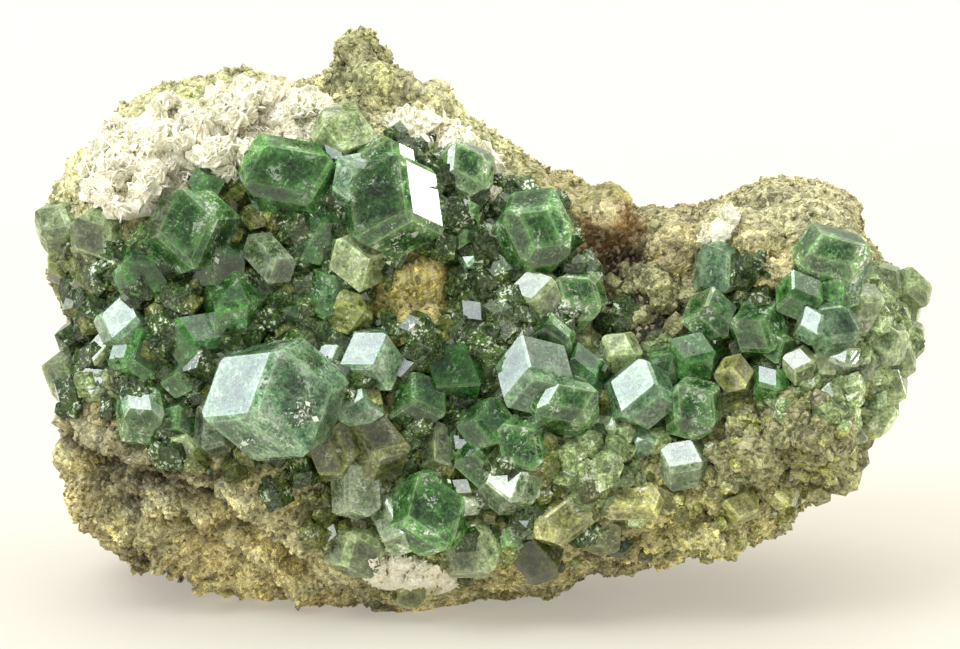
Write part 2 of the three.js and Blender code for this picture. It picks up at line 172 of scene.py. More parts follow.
def spread(tree, value, low, high, fromLow=0.0, fromHigh=1.0):
    # a value's range fromLow to fromHigh laid out from low to high, and clipped there
    places = {"Value": value, "From Min": fromLow, "From Max": fromHigh, "To Min": low, "To Max": high}
    return addNode(tree, "MapRange", places).outputs["Result"]


def maths(tree, kind, a, b):
    # two numbers added, subtracted or multiplied, or the larger of them
    return addNode(tree, "Math", {0: a, 1: b}, operation=kind).outputs[0]


def asGrey(tree, light):
    # one number as a colour
    return addNode(tree, "CombineColor", {0: light, 1: light, 2: light}).outputs[0]


def noiseOn(tree, place, scale, detail, rough=0.5, bend=0.0):
    # a noise texture with that many features to the metre
    inputs = {"Vector": place, "Scale": scale, "Detail": detail, "Roughness": rough, "Distortion": bend}
    return addNode(tree, "TexNoise", inputs).outputs


def stored(tree, name):
    # what the mesh holds under a name
    return addNode(tree, "Attribute", attribute_name=name).outputs


# the camera stands square to the crystal face, and each lamp stands where some crystal faces mirror it
studio = {
    "distance": 450, "lens": 168.75, "sensor": 36, "planeY": -12, "eyeZ": 0.55,
    # brightness of the surroundings on the side that the crystals look to and behind them, and its colour
    "world": (0.42, 1.0), "worldColour": (1.0, 0.995, 0.98),
    "floor": shade(176, 171, 160), "backdrop": shade(216, 215, 211), "glow": shade(157, 153, 144),
    # metres: where the paper's flat part starts and its length, the quarter round behind it, and the wall
    "paper": {"start": -1.6, "flat": 2.4, "radius": 0.5, "wall": 1.2, "halfWidth": 2.0, "rows": 60},
    # direction in the face frame, width and height in metres, distance, brightness, colour
    "lights": {
        "upperLeft": ((-0.44, -0.65, 0.62), 0.33, 0.3, 0.7, 9.5, (0.88, 0.95, 1.0)),
        "left": ((-0.94, 0.02, 0.34), 0.3, 0.28, 0.7, 6.2, (0.84, 0.92, 1.0)),
        "right": ((0.97, 0.06, 0.24), 0.18, 0.18, 0.7, 20, (1.0, 0.99, 0.96)),
        "above": ((0.15, -0.2, 1.0), 1.1, 1.1, 0.8, 1.55, (1.0, 0.98, 0.94)),
    },
}

camera = bpy.data.objects.new("camera", bpy.data.cameras.new("camera"))
camera.data.lens = studio["lens"]
camera.data.sensor_width = studio["sensor"]
camera.location = standing(np.array([0, studio["planeY"] - studio["distance"], studio["eyeZ"]]))
camera.rotation_euler = (math.pi / 2 - stand["lean"], 0, 0)
bpy.context.scene.collection.objects.link(camera)
bpy.context.scene.camera = camera

middle = standing(np.array([0.0, 0, 0]))
for name, (direction, wide, high, far, bright, colour) in studio["lights"].items():
    away = unit(leant(np.array(direction)))
    lamp = bpy.data.lights.new(name, "AREA")
    lamp.shape, lamp.size, lamp.size_y = "RECTANGLE", wide, high
    lamp.energy = bright * math.pi * wide * high  # so that its face is that bright
    lamp.color = colour
    holder = bpy.data.objects.new(name, lamp)
    holder.location = middle + away * far
    holder.rotation_euler = Vector(-away).to_track_quat("-Z", "Y").to_euler()
    bpy.context.scene.collection.objects.link(holder)

world = bpy.data.worlds.new("studio")
world.use_nodes = True
sky = world.node_tree
skyWay = addNode(sky, "TexCoord").outputs["Generated"]
skyY = addNode(sky, "SeparateXYZ", {0: skyWay}).outputs["Y"]
sky.links.new(spread(sky, skyY, *studio["world"], -0.8, 0.4), sky.nodes["Background"].inputs["Strength"])
sky.nodes["Background"].inputs["Color"].default_value = (*studio["worldColour"], 1)
bpy.context.scene.world = world
bpy.context.scene.view_settings.view_transform = "Standard"

# a sweep of paper: its first 0.6 flat under the specimen, the next 0.3 a quarter round, and then a wall
paper = studio["paper"]
along = np.linspace(0, 1, paper["rows"])
bend = np.clip((along - 0.6) / 0.3, 0, 1) * math.pi / 2
run = paper["start"] + paper["flat"] * np.clip(along / 0.6, 0, 1) + paper["radius"] * np.sin(bend)
rise = paper["radius"] * (1 - np.cos(bend)) + paper["wall"] * np.clip((along - 0.9) / 0.1, 0, 1)
sides = np.tile([-paper["halfWidth"], paper["halfWidth"]], paper["rows"])
grid = np.stack([sides, np.repeat(run, 2), np.repeat(rise, 2)], -1)
strips = np.arange(paper["rows"] - 1)[:, None] * 2 + np.array([0, 1, 3, 2])
sweep = bpy.data.meshes.new("floor")
sweep.from_pydata(grid.tolist(), [], strips.tolist())
floor = bpy.data.objects.new("floor", sweep)
bpy.context.scene.collection.objects.link(floor)
palePaper = bpy.data.materials.new("pale paper")
palePaper.use_nodes = True
tree = palePaper.node_tree
floorPlace = addNode(tree, "TexCoord").outputs["Object"]
floorY = addNode(tree, "SeparateXYZ", {0: floorPlace}).outputs["Y"]
farther = spread(tree, floorY, 0.0, 1.0, 0.1, 0.9)
finish = tree.nodes["Principled BSDF"].inputs
paperColour = mixed(tree, "MIX", farther, (*studio["floor"], 1), (*studio["backdrop"], 1))
tree.links.new(paperColour, finish["Base Color"])
finish["Roughness"].default_value = 0.9
finish["Emission Color"].default_value = (*studio["glow"], 1)  # a table lit from within
finish["Emission Strength"].default_value = 1
sweep.materials.append(palePaper)
print("camera, light and floor are set")


def granular(name, grain, bump, rough, gloss, contrast, paleGrains):
    # a tinted mineral whose grains, of that size in millimetres, differ in lightness, with broad patches,
    # fine mottling and bumps, some paler grains, and a few that shine
    material, tree, place = blank(name)
    speck = addNode(tree, "TexVoronoi", {"Vector": place, "Scale": 1000 / grain})
    own = addNode(tree, "SeparateColor", {"Color": speck.outputs["Color"]}).outputs
    broad = noiseOn(tree, place, 1000 / (grain * 7), 4.0, 0.6)["Fac"]
    fine = noiseOn(tree, place, 1000 / (grain * 0.45), 3.0)["Fac"]
    patchy = spread(tree, broad, 1 - 0.8 * contrast, 1 + 0.8 * contrast, 0.3, 0.7)
    mottled = spread(tree, fine, 1 - 0.6 * contrast, 1 + 0.6 * contrast, 0.38, 0.62)
    light = maths(tree, "MULTIPLY", spread(tree, own[0], 1 - contrast, 1 + contrast), patchy)
    light = maths(tree, "MULTIPLY", light, mottled)
    colour = mixed(tree, "MULTIPLY", 1.0, stored(tree, "tint")["Color"], asGrey(tree, light))
    colour = mixed(tree, "MIX", spread(tree, own[1], 0.0, 0.5, 0.6, 1.0), colour, (*paleGrains, 1))
    height = maths(tree, "SUBTRACT", fine, speck.outputs["Distance"])
    bumps = {"Height": height, "Strength": bump, "Distance": grain * 0.0005}
    surface = addNode(tree, "BsdfPrincipled", {
        "Base Color": colour, "Roughness": spread(tree, own[2], rough, gloss, 0.8, 0.9),
        "Normal": addNode(tree, "Bump", bumps).outputs["Normal"],
    })
    addNode(tree, "OutputMaterial", {"Surface": surface.outputs[0]})
    return material


# Each look of clear garnet: the deep, middle and pale colours of its body, the colour left after light has
# passed through and how strongly it absorbs, how much light passes, how frosted it is, and its sparkle,
# which sets how strong its pale cracks and painted glints are.
looks = {
    "deep": [(10, 50, 8), (80, 150, 58), (150, 188, 124), (0.36, 0.7, 0.34), 200, 0.5, 0.03, 1.0],
    "green": [(12, 46, 10), (58, 114, 42), (164, 196, 134), (0.45, 0.75, 0.4), 160, 0.42, 0.06, 0.9],
    "teal": [(56, 100, 64), (148, 188, 138), (204, 224, 190), (0.42, 0.73, 0.54), 150, 0.5, 0.02, 1.0],
    "pale": [(82, 100, 60), (138, 154, 102), (202, 212, 162), (0.62, 0.78, 0.48), 120, 0.4, 0.12, 0.7],
    "yellow": [(88, 90, 40), (156, 158, 90), (210, 210, 156), (0.72, 0.77, 0.36), 120, 0.35, 0.16, 0.7],
    "olive": [(50, 56, 20), (110, 118, 54), (170, 176, 110), (0.58, 0.65, 0.28), 140, 0.45, 0.08, 0.8],
    "moss": [(14, 26, 8), (62, 84, 36), (158, 184, 110), (0.5, 0.7, 0.4), 160, 0.4, 0.08, 0.9],
    "clear": [(66, 92, 54), (144, 168, 118), (220, 230, 200), (0.7, 0.83, 0.6), 90, 0.6, 0.03, 1.0],
}
# how many of each feature there are to the metre, how far the cells wander in metres, and how strongly the
# faces bend light
insides = {
    "cloud": 420.0, "grain": 2600.0, "wander": 900.0, "wanderBy": 0.0006,
    "cell": 700.0, "flash": 2100.0, "shard": 4600.0, "ior": 1.7, "solidIor": 1.5,
}


def garnet(name, look, solid=False):
    # Polished faces over a cloudy body that runs from its deep to its middle colour. Its lightness varies by
    # cells, flashes, shards and grain, painted as reflections from inside it, and falls off inwards from a
    # face's edges, which are painted paler as a highlight, with pale cracks in places and small painted
    # glints. A solid one lets no light through and has no edges of its own.
    deep, middle, pale = (shade(*rgb) for rgb in look[:3])
    through, density, clear, frost, sparkle = look[3:]
    paleColour = (*pale, 1)
    material, tree, place = blank(name)
    inset = stored(tree, "inset")["Fac"]
    cloud = noiseOn(tree, place, insides["cloud"], 5.0, 0.7, 0.3)["Fac"]
    grain = noiseOn(tree, place, insides["grain"], 3.0, 0.8)["Fac"]
    wander = noiseOn(tree, place, insides["wander"], 2.0)["Color"]
    bent = mixed(tree, "LINEAR_LIGHT", insides["wanderBy"], place, wander)

    def product(a, b):
        # two numbers multiplied
        return maths(tree, "MULTIPLY", a, b)

    def numbers(feature):
        # three random numbers for each of the cells that wander through the crystal
        part = addNode(tree, "TexVoronoi", {"Vector": bent, "Scale": insides[feature]})
        return addNode(tree, "SeparateColor", {"Color": part.outputs["Color"]}).outputs

    cell, flash, shard = numbers("cell"), numbers("flash"), numbers("shard")
    gap = addNode(tree, "TexVoronoi", {"Vector": bent, "Scale": insides["cell"]}, feature="DISTANCE_TO_EDGE")
    body = mixed(tree, "MIX", spread(tree, cloud, 0.0, 1.0, 0.32, 0.66), (*deep, 1), (*middle, 1))
    # painted reflections from inside: lightness that varies by cells, shards, grain and flashes
    light = product(spread(tree, cell[0], 0.7, 1.3), spread(tree, shard[0], 0.7, 1.3))
    finer = product(spread(tree, grain, 0.4, 1.75, 0.34, 0.66), spread(tree, flash[0], 0.7, 1.35))
    light = product(light, finer)
    if not solid:
        # painted light: lighter near a face's edges and darker inwards
        light = product(light, spread(tree, inset, 1.35, 0.62, 0.0, 2.2))
    body = mixed(tree, "MULTIPLY", 1.0, body, asGrey(tree, light))
    if not solid:
        # painted highlight along the edges: a broad paler border whose width wanders, then a bright line at
        # the edge itself
        highlightBand = maths(tree, "ADD", inset, spread(tree, cloud, 0.6, -0.4, 0.36, 0.62))
        body = mixed(tree, "MIX", spread(tree, highlightBand, 0.32, 0.0, 0.0, 0.9), body, paleColour)
        line = product(spread(tree, inset, 0.34, 0.0, 0.02, 0.1), spread(tree, cell[2], 0.0, 1.0, 0.3, 0.8))
        body = mixed(tree, "MIX", line, body, paleColour)
    crack = spread(tree, gap.outputs["Distance"], 0.5 * sparkle, 0.0, 0.006, 0.03)
    crack = product(crack, spread(tree, cell[1], 0.0, 1.0, 0.72, 0.8))
    body = mixed(tree, "MIX", crack, body, paleColour)
    # painted glints and flashes, which gather where the clouds are pale
    glints = spread(tree, shard[1], 0.0, sparkle, 0.74, 0.8)
    glints = product(glints, spread(tree, cloud, 0.1, 1.0, 0.52, 0.6))
    flashes = spread(tree, flash[1], 0.0, sparkle, 0.84, 0.88)
    flashes = product(flashes, spread(tree, cloud, 0.0, 1.0, 0.56, 0.62))
    glints = maths(tree, "MAXIMUM", glints, flashes)
    body = mixed(tree, "MIX", glints, body, (*(0.5 * pale + 0.45), 1))
    colour = mixed(tree, "MULTIPLY", 1.0, body, stored(tree, "tint")["Color"])
    # faint growth lines, drawn out along each face
    across = addNode(tree, "UVMap", uv_map="across").outputs["UV"]
    stretched = addNode(tree, "Mapping", {"Vector": across, "Scale": (3.0, 0.4, 1.0)}).outputs[0]
    steps = {"Height": noiseOn(tree, stretched, 1.0, 1.0)["Fac"], "Strength": 0.03, "Distance": 0.0002}
    surface = addNode(tree, "BsdfPrincipled", {
        "Base Color": colour, "Roughness": frost, "IOR": insides["solidIor" if solid else "ior"],
        "Transmission Weight": 0.0 if solid else clear,
        "Normal": addNode(tree, "Bump", steps).outputs["Normal"],
    })
    output = addNode(tree, "OutputMaterial", {"Surface": surface.outputs[0]})
    if not solid:
        absorbs = {"Color": (*through, 1), "Density": float(density)}
        inside = addNode(tree, "VolumeAbsorption", absorbs)
        tree.links.new(inside.outputs[0], output.inputs["Volume"])
    return material


# lengths in millimetres in the face frame
rock = {
    # the outline as x and z, from the peak to the right and on round
    "rim": np.array([
        [-12.2, 30.4], [-11, 29.6], [-9.6, 26.6], [-7.6, 25], [-4.1, 23.8], [0.2, 20.9], [3.3, 18.8],
        [8.4, 16], [12.3, 14.3], [16.8, 12.1], [21.1, 12.9], [25, 14], [28.9, 15.4], [33.4, 15], [37.8, 14],
        [38.9, 12.2], [39.4, 9.2], [42.5, 4.1], [43.4, -2], [42, -7.2], [39.6, -11.8], [37.5, -15.4],
        [33.8, -17], [31.6, -20.5], [24.6, -22.9], [17.4, -23.6], [12.3, -25.1], [3.1, -27.5],
        [-5.1, -29.6], [-13.6, -29.4], [-17.8, -28], [-21.4, -28.6], [-26.4, -26.8], [-30.8, -24.8],
        [-34.8, -24.4], [-37.8, -22.4], [-40.4, -19.6], [-42, -16.4], [-42.9, -13], [-43, -8.6],
        [-42.5, -3.6], [-43, 4.4], [-43.2, 11.8], [-41.6, 16.8], [-38.5, 19.6], [-35.3, 22.8],
        [-32.4, 24.2], [-27.2, 25.4], [-20.9, 25.6], [-16.6, 24.8], [-14.4, 26.6], [-13.2, 29.4],
    ]),
    # broad bells on the front: x, z, radius, height
    "hills": [
        [-19, -8, 10, 3.4], [-9, 13, 9, 2.4], [-30, 8, 8, 1.6], [6, -9, 9, 2.6], [15.5, 6, 6, -6],
        [-7, 5, 4, -2.6], [24, 8, 6, -2.5], [34, -2, 8, 2.4], [36, 8, 5, 1.6], [27, -12, 7, 1.4],
    ],
    # balls that stand out of it: x, z, radius, how far the middle stands out of the smooth front
    "lumps": [
        [-12.1, 27.6, 2.2, -1.2], [-10.6, 24.6, 2.8, -0.6], [-7.6, 23.4, 2.4, -0.8],
        [-13.8, 24.8, 2.1, -0.8], [-4.6, 22, 3, -1], [-31, 22.4, 3.2, -1.4], [-25.2, 23.2, 3.2, -1.6],
        [-6.7, 5.2, 4.3, 0.6], [-5.8, 0.4, 3, 0.4], [12.4, 11.8, 3.2, -0.6], [19.8, 8, 3.2, 0],
        [17.6, 3.2, 2.6, 0.2], [28, 9.2, 2.7, 0.8], [28.2, 5.2, 2.4, 1], [32.6, -9.8, 4, 0.4],
        [27, -11.6, 2.8, 0.2], [34.6, -13.4, 2.8, -0.4], [11.4, -13.6, 3, 0], [24, -19.8, 3, -0.8],
        [-41, -12.4, 3.6, -0.8], [-38.2, -16.8, 3.8, -1], [-34.4, -21.2, 3.6, -1.2],
    ],
    "spine": (np.array([-20.0, 1]), np.array([24.0, -4])),
    # depths of its front and back from the outline, and the radii of their edges
    "front": 11, "back": 21, "frontEdge": 8, "flankEdge": 15, "backEdge": 15,
    "flankSetBack": 4, "backSwell": 3,
    "restHeight": -27.6,
    "around": 440, "frontRings": 112, "backRings": 56,
    # size and height of its swells; size, octaves and height of its roughness
    "swells": [(7, 1.2), (3, 0.6)], "coarse": (4.5, 3, 0.6), "fine": (1.8, 2, 0.28),
    # sizes of its knobs and beads; size and height of its lobes and how deep the gaps between them are; the
    # rise of its ledges and their depth; the shelf's height over the slope and the depth of its hollow
    "knob": 3.1, "bead": 1.35, "lobe": 2.7, "lobeHigh": 2.2, "lobeGap": 1.4,
    "ledgeRise": 3.6, "ledgeDeep": 3.4, "browHigh": 2, "hollowDeep": 1.7,
    # the crust's lower edge over the bare flank, where the crystals' bed ends in a shelf
    "shelf": np.array([
        [-48, -7.4], [-43, -9], [-36, -12.8], [-31, -14.4], [-26, -16.4], [-22, -19.2], [-17, -22.6],
        [-13, -25.4], [-10, -29],
    ]),
    # colours of the whole, the top and the bed under the crystals, of the shelf's brow, the painted shade of
    # the hollow under it and the back's film, and of the flank with its pale and its rusty parts
    "base": (158, 150, 108), "topCrust": (204, 200, 148), "bed": (196, 224, 170),
    "brow": (190, 184, 138), "hollow": (92, 82, 52), "backFilm": (132, 128, 92),
    "flankColours": [(244, 232, 166), (246, 238, 194), (190, 170, 108)],
    # soft-edged patches of colour laid over it: x, z, radius, colour, share
    "patches": [
        [-20, 1, 17, (112, 146, 80), 0.9], [-36, 2, 9, (130, 150, 92), 0.85],
        [-22, -4, 10, (104, 138, 76), 0.9], [0, -2, 12, (112, 142, 80), 0.9],
        [-2, 10, 9, (112, 142, 80), 0.9], [8, -8, 10, (122, 148, 88), 0.85],
        [-6, -16, 12, (124, 144, 88), 0.85], [33, 1, 10, (138, 162, 106), 0.85],
        [24, -3, 8, (142, 168, 106), 0.85], [20, -13, 8, (140, 142, 88), 0.6],
        [10, 14, 7, (150, 142, 84), 0.8], [-12, 28, 5, (176, 178, 116), 0.8],
        [-27, 24, 6, (172, 174, 126), 0.7], [30, 13, 8, (182, 177, 134), 0.9],
        [-6.5, 4.8, 5.6, (198, 184, 106), 0.95], [-6.3, -0.6, 3.2, (186, 172, 100), 0.9],
        [13.2, 9.8, 3.6, (128, 90, 50), 0.8], [12.6, 11.6, 1.6, (204, 190, 140), 0.9],
        # the near-black patches round x 14 to 20 and z -1 to 6 are painted shade in the crevice there
        [17, 3, 3.2, (48, 40, 26), 1], [15, 6.2, 3, (60, 42, 24), 1], [19.8, 2.6, 2.8, (46, 40, 26), 1],
        [14, -0.6, 2.4, (50, 44, 26), 1], [19.6, 7.6, 3.2, (196, 184, 132), 0.9],
        [28.4, 6.6, 4, (208, 198, 146), 0.9], [33, -9.6, 4.4, (156, 156, 108), 0.9],
        [27, -12, 4.4, (118, 120, 76), 0.9], [12, -13.4, 6, (198, 196, 144), 0.8],
        [22, -20.5, 8, (218, 210, 142), 0.9], [41, 0, 6, (138, 154, 106), 0.9],
        [33, -16, 5, (176, 170, 110), 0.9], [5, -26, 7, (198, 190, 128), 0.8],
        [-8.4, -21.8, 2.2, (60, 56, 34), 0.9], [-12, -26, 4, (192, 184, 130), 0.7],
    ],
}


def nearestOn(points, start, end):
    # the nearest place of a straight line to each point, and how far along it that is
    way = end - start
    along = np.clip((points - start) @ way / (way @ way), 0, 1)
    return start + along[..., None] * way, along


def rimDistance(x, z):
    # powers of the ways to all edges added up, which is nearly the shortest without a crease
    points, total = np.stack([x, z], -1), 0
    for start, end in zip(rock["rim"], np.roll(rock["rim"], -1, axis=0)):
        total = total + (np.linalg.norm(points - nearestOn(points, start, end)[0], axis=-1) + 1e-4) ** -6.0
    return total ** (-1 / 6)


def flankShare(x, z):
    # 1 on the bare flank at the lower left, 0 elsewhere
    return smoothStep(-0.5 * x - 0.87 * z, 9, 24) * smoothStep(-x, -9, 3)


def quarterRound(distance, radius):
    # 0 at an edge, rising over a quarter circle to 1 at that distance from it
    return np.sqrt(1 - (1 - np.minimum(1, distance / radius)) ** 2)


def bells(x, z, rows):
    # bell curves added up, each with a middle, a radius and a height
    return sum(high * np.exp(-((x - a) ** 2 + (z - b) ** 2) / r**2) for a, b, r, high in rows)


def frontAt(x, z):
    # depth of the smooth front: broad hills on a slab with a rounded edge, most of all on the flank
    x, z = np.asarray(x, float), np.asarray(z, float)
    flank = flankShare(x, z)
    rimY = rock["flankSetBack"] * flank
    rounder = np.maximum(flank, smoothStep(z - x, 28, 45))
    rounding = rock["frontEdge"] + (rock["flankEdge"] - rock["frontEdge"]) * rounder
    thick = rock["front"] + bells(x, z, rock["hills"]) + rimY
    return rimY - thick * quarterRound(rimDistance(x, z), rounding)


def backAt(x, z):
    # depth of the smooth back: the same slab with a few swells
    x, z = np.asarray(x, float), np.asarray(z, float)
    rimY = rock["flankSetBack"] * flankShare(x, z)
    swell = rock["backSwell"] * noise(np.stack([x / 11, 0 * x, z / 11], -1), 1)
    return rimY + (rock["back"] - rimY + swell) * quarterRound(rimDistance(x, z), rock["backEdge"])


def shelfDistance(x, z):
    # signed distance to the shelf's edge, more than nothing on the crystals' side
    points, best, sign = np.stack([x, z], -1), np.full(x.shape, 1e9), np.ones(x.shape)
    for start, end in zip(rock["shelf"][:-1], rock["shelf"][1:]):
        far = np.linalg.norm(points - nearestOn(points, start, end)[0], axis=-1)
        side = (end - start)[0] * (points[..., 1] - start[1]) - (end - start)[1] * (points[..., 0] - start[0])
        sign = np.where(far < best, np.sign(side), sign)
        best = np.minimum(best, far)
    return best * sign


def gridNormals(points):
    # points by ring and place around; the way out is across the two directions of the grid
    down = np.gradient(points, axis=0)
    sideways = (np.roll(points, -1, axis=1) - np.roll(points, 1, axis=1)) / 2
    return unit(np.cross(sideways, down))


def dome(far, radius, power=0.5):
    # the height of a round knob at a place that far from its middle
    return np.clip(1 - (far / radius) ** 2, 0, 1) ** power


def rimLine(count, passes):
    # the rim with eased corners, as many places over its upper half from left to right as back along its
    # lower half, and the place on the spine that each belongs to, the same for both halves
    left, right = rock["rim"][:, 0].argmin(), rock["rim"][:, 0].argmax()
    halves = []
    for first, last in ((left, right), (right, left)):
        part = np.roll(rock["rim"], -first, axis=0)[: (last - first) % len(rock["rim"]) + 1]
        length = np.r_[0, np.cumsum(np.linalg.norm(np.diff(part, axis=0), axis=1))]
        at = np.linspace(0, length[-1], count // 2, endpoint=False)
        halves.append(np.stack([np.interp(at, length, part[:, k]) for k in (0, 1)], -1))
    line = np.concatenate(halves)
    for _ in range(passes):
        line = (np.roll(line, 1, axis=0) + 2 * line + np.roll(line, -1, axis=0)) / 4
    along = nearestOn(line, *rock["spine"])[1]
    along = (along + np.roll(along[::-1], 1)) / 2
    return line, rock["spine"][0] + along[:, None] * (rock["spine"][1] - rock["spine"][0])


def rockSurface():
    # Rings from the spine at the front, over the rim, to the spine at the back. Swells, lumps, knobs and
    # ledges then push the surface out along the way that it faces. Gives the points, how open each place
    # is, which sets how much painted shade darkens its colour, its distance to the shelf's edge, its share in
    # the flank and how far it faces forwards.
    rim, start = rimLine(rock["around"], 6)
    share = np.r_[np.linspace(0, 1, rock["frontRings"], endpoint=False), np.linspace(1, 2, rock["backRings"])]
    reach = np.sin(share * math.pi / 2)[:, None, None]
    flat = start + reach * (rim - start)
    x, z = flat[..., 0], flat[..., 1]
    y = np.where((share < 1)[:, None], frontAt(x, z), backAt(x, z))
    points = np.stack([x, y, z], -1)
    outwards = unit(np.stack([x - start[:, 0], y - 4, z - start[:, 1]], -1))
    where = points.reshape(-1, 3)
    swell = sum(high * noise(where, size) for size, high in rock["swells"]).reshape(x.shape)
    points = points + outwards * swell[..., None]

    # near the spine, where the grid's lines run together, the way out is straight forwards or back
    settled = smoothStep(1 - np.abs(1 - share), 0, 0.05)[:, None, None]
    straight = np.where(share < 1, -1.0, 1.0)[:, None, None] * np.array([0, 1.0, 0])
    facing = unit(gridNormals(points) * settled + straight * (1 - settled)).reshape(-1, 3)
    where = points.reshape(-1, 3)
    x, y, z = where.T
    out = np.zeros(len(where))
    for lumpX, lumpZ, size, lift in rock["lumps"]:
        # a ball's far side along the way out, the ball a little smaller for the knobs on it
        to = where - (lumpX, float(frontAt(lumpX, lumpZ)) - lift, lumpZ)
        b = (to * facing).sum(1)
        depth = (size * 0.93) ** 2 - (to * to).sum(1)
        out = np.maximum(out, np.where(depth > 0, -b + np.sqrt(np.maximum(b * b + depth, 0)), 0))

    flank = flankShare(x, z) * smoothStep(-y, -8, 0)
    edge = shelfDistance(x, z)
    front = smoothStep(-facing[:, 1], -0.1, 0.4)
    # knobs, highest at the flank's left end and round the peak, and small beads everywhere
    knobbly = flank * smoothStep(-x, 26, 33) + smoothStep(z - 0.3 * np.abs(x + 12), 19, 23) + 0.35
    knobbly = np.clip(knobbly, 0, 1)
    knobFar, knobOwn = cells(where + 0.5 * roughness(where, 3, 2, 5)[:, None], rock["knob"], 3)
    knobs = dome(knobFar, 0.78, 0.7) * (0.5 + knobOwn)
    beadFar = cells(where, rock["bead"], 8)[0]
    # rounded lobes over the flank's left part and the lower right, with deep gaps between them
    lobeFar = cells(where + 0.5 * roughness(where, 2, 2, 51)[:, None], rock["lobe"], 52)[0]
    lobes = dome(lobeFar, 0.74)
    lobed = np.clip(flank * smoothStep(-x, 18, 28) + smoothStep(0.6 * x - 0.8 * z, 20, 26), 0, 1)
    lobed = lobed * smoothStep(-y, -14, -6)
    out += lobed * (rock["lobeHigh"] * lobes - rock["lobeGap"])
    out += (0.8 + 0.6 * flank) * knobbly * knobs + (0.25 + 0.35 * knobbly) * dome(beadFar, 0.7)
    (fineSize, fineOctaves, fineHigh), (coarseSize, coarseOctaves, coarseHigh) = rock["fine"], rock["coarse"]
    out += fineHigh * roughness(where, fineSize, fineOctaves, 2) - 0.5 * knobbly - 0.7 * flank
    out += coarseHigh * roughness(where, coarseSize, coarseOctaves, 41)
    # ledges step down to the right over the flank, each with a sharp lower lip
    down = (0.5 * x + 0.866 * z + 1.3 * noise(where, 9, 4) + 0.4 * noise(where, 2, 12)) / rock["ledgeRise"]
    tread = down - np.floor(down)
    lip = (rock["ledgeDeep"] + noise(where, 8, 13)) * (1 - tread) ** 1.2 * smoothStep(tread, 0, 0.2) - 1.4
    out += flank * smoothStep(x, -36, -30) * smoothStep(-edge, 0.5, 2.5) * lip
    # the shelf of the crystals' bed, with a shaded hollow under it
    shelved = smoothStep(-x, 10, 14) * smoothStep(-y, -8, -2) * smoothStep(x, -45, -39)
    edge = edge + 0.7 * noise(where, 3, 14) + 0.35 * noise(where, 1.2, 15)
    brow = rock["browHigh"] * smoothStep(edge, -0.25, 0.25) * smoothStep(-edge, -5, -1)
    hollow = rock["hollowDeep"] + 0.6 * noise(where, 5, 16)
    hollow = hollow * smoothStep(-edge, 0, 0.6) * smoothStep(edge, -3.4, -1)
    out += shelved * (brow - hollow)
    out *= 1 - 0.45 * smoothStep(-x, 38, 43)
    pushed = where + facing * out[:, None]
    # the flat break that the specimen rests on
    cut = np.maximum(rock["restHeight"] - leant(pushed)[:, 2], 0)
    pushed += cut[:, None] * np.array([0, -math.sin(stand["lean"]), math.cos(stand["lean"])])
    # places between knobs, between lobes and under a ledge's lip are less open, and are painted darker there
    # as shade
    unshaded = np.clip(1.25 - 1.1 * knobFar * knobbly - 0.5 * beadFar, 0.25, 1) * (1 - 0.7 * lobed * (1 - lobes))
    unshaded = unshaded * (1 - 0.7 * flank * smoothStep(tread, 0.66, 0.98) * smoothStep(x, -38, -32))
    return pushed.reshape(points.shape), unshaded, edge, flank, front


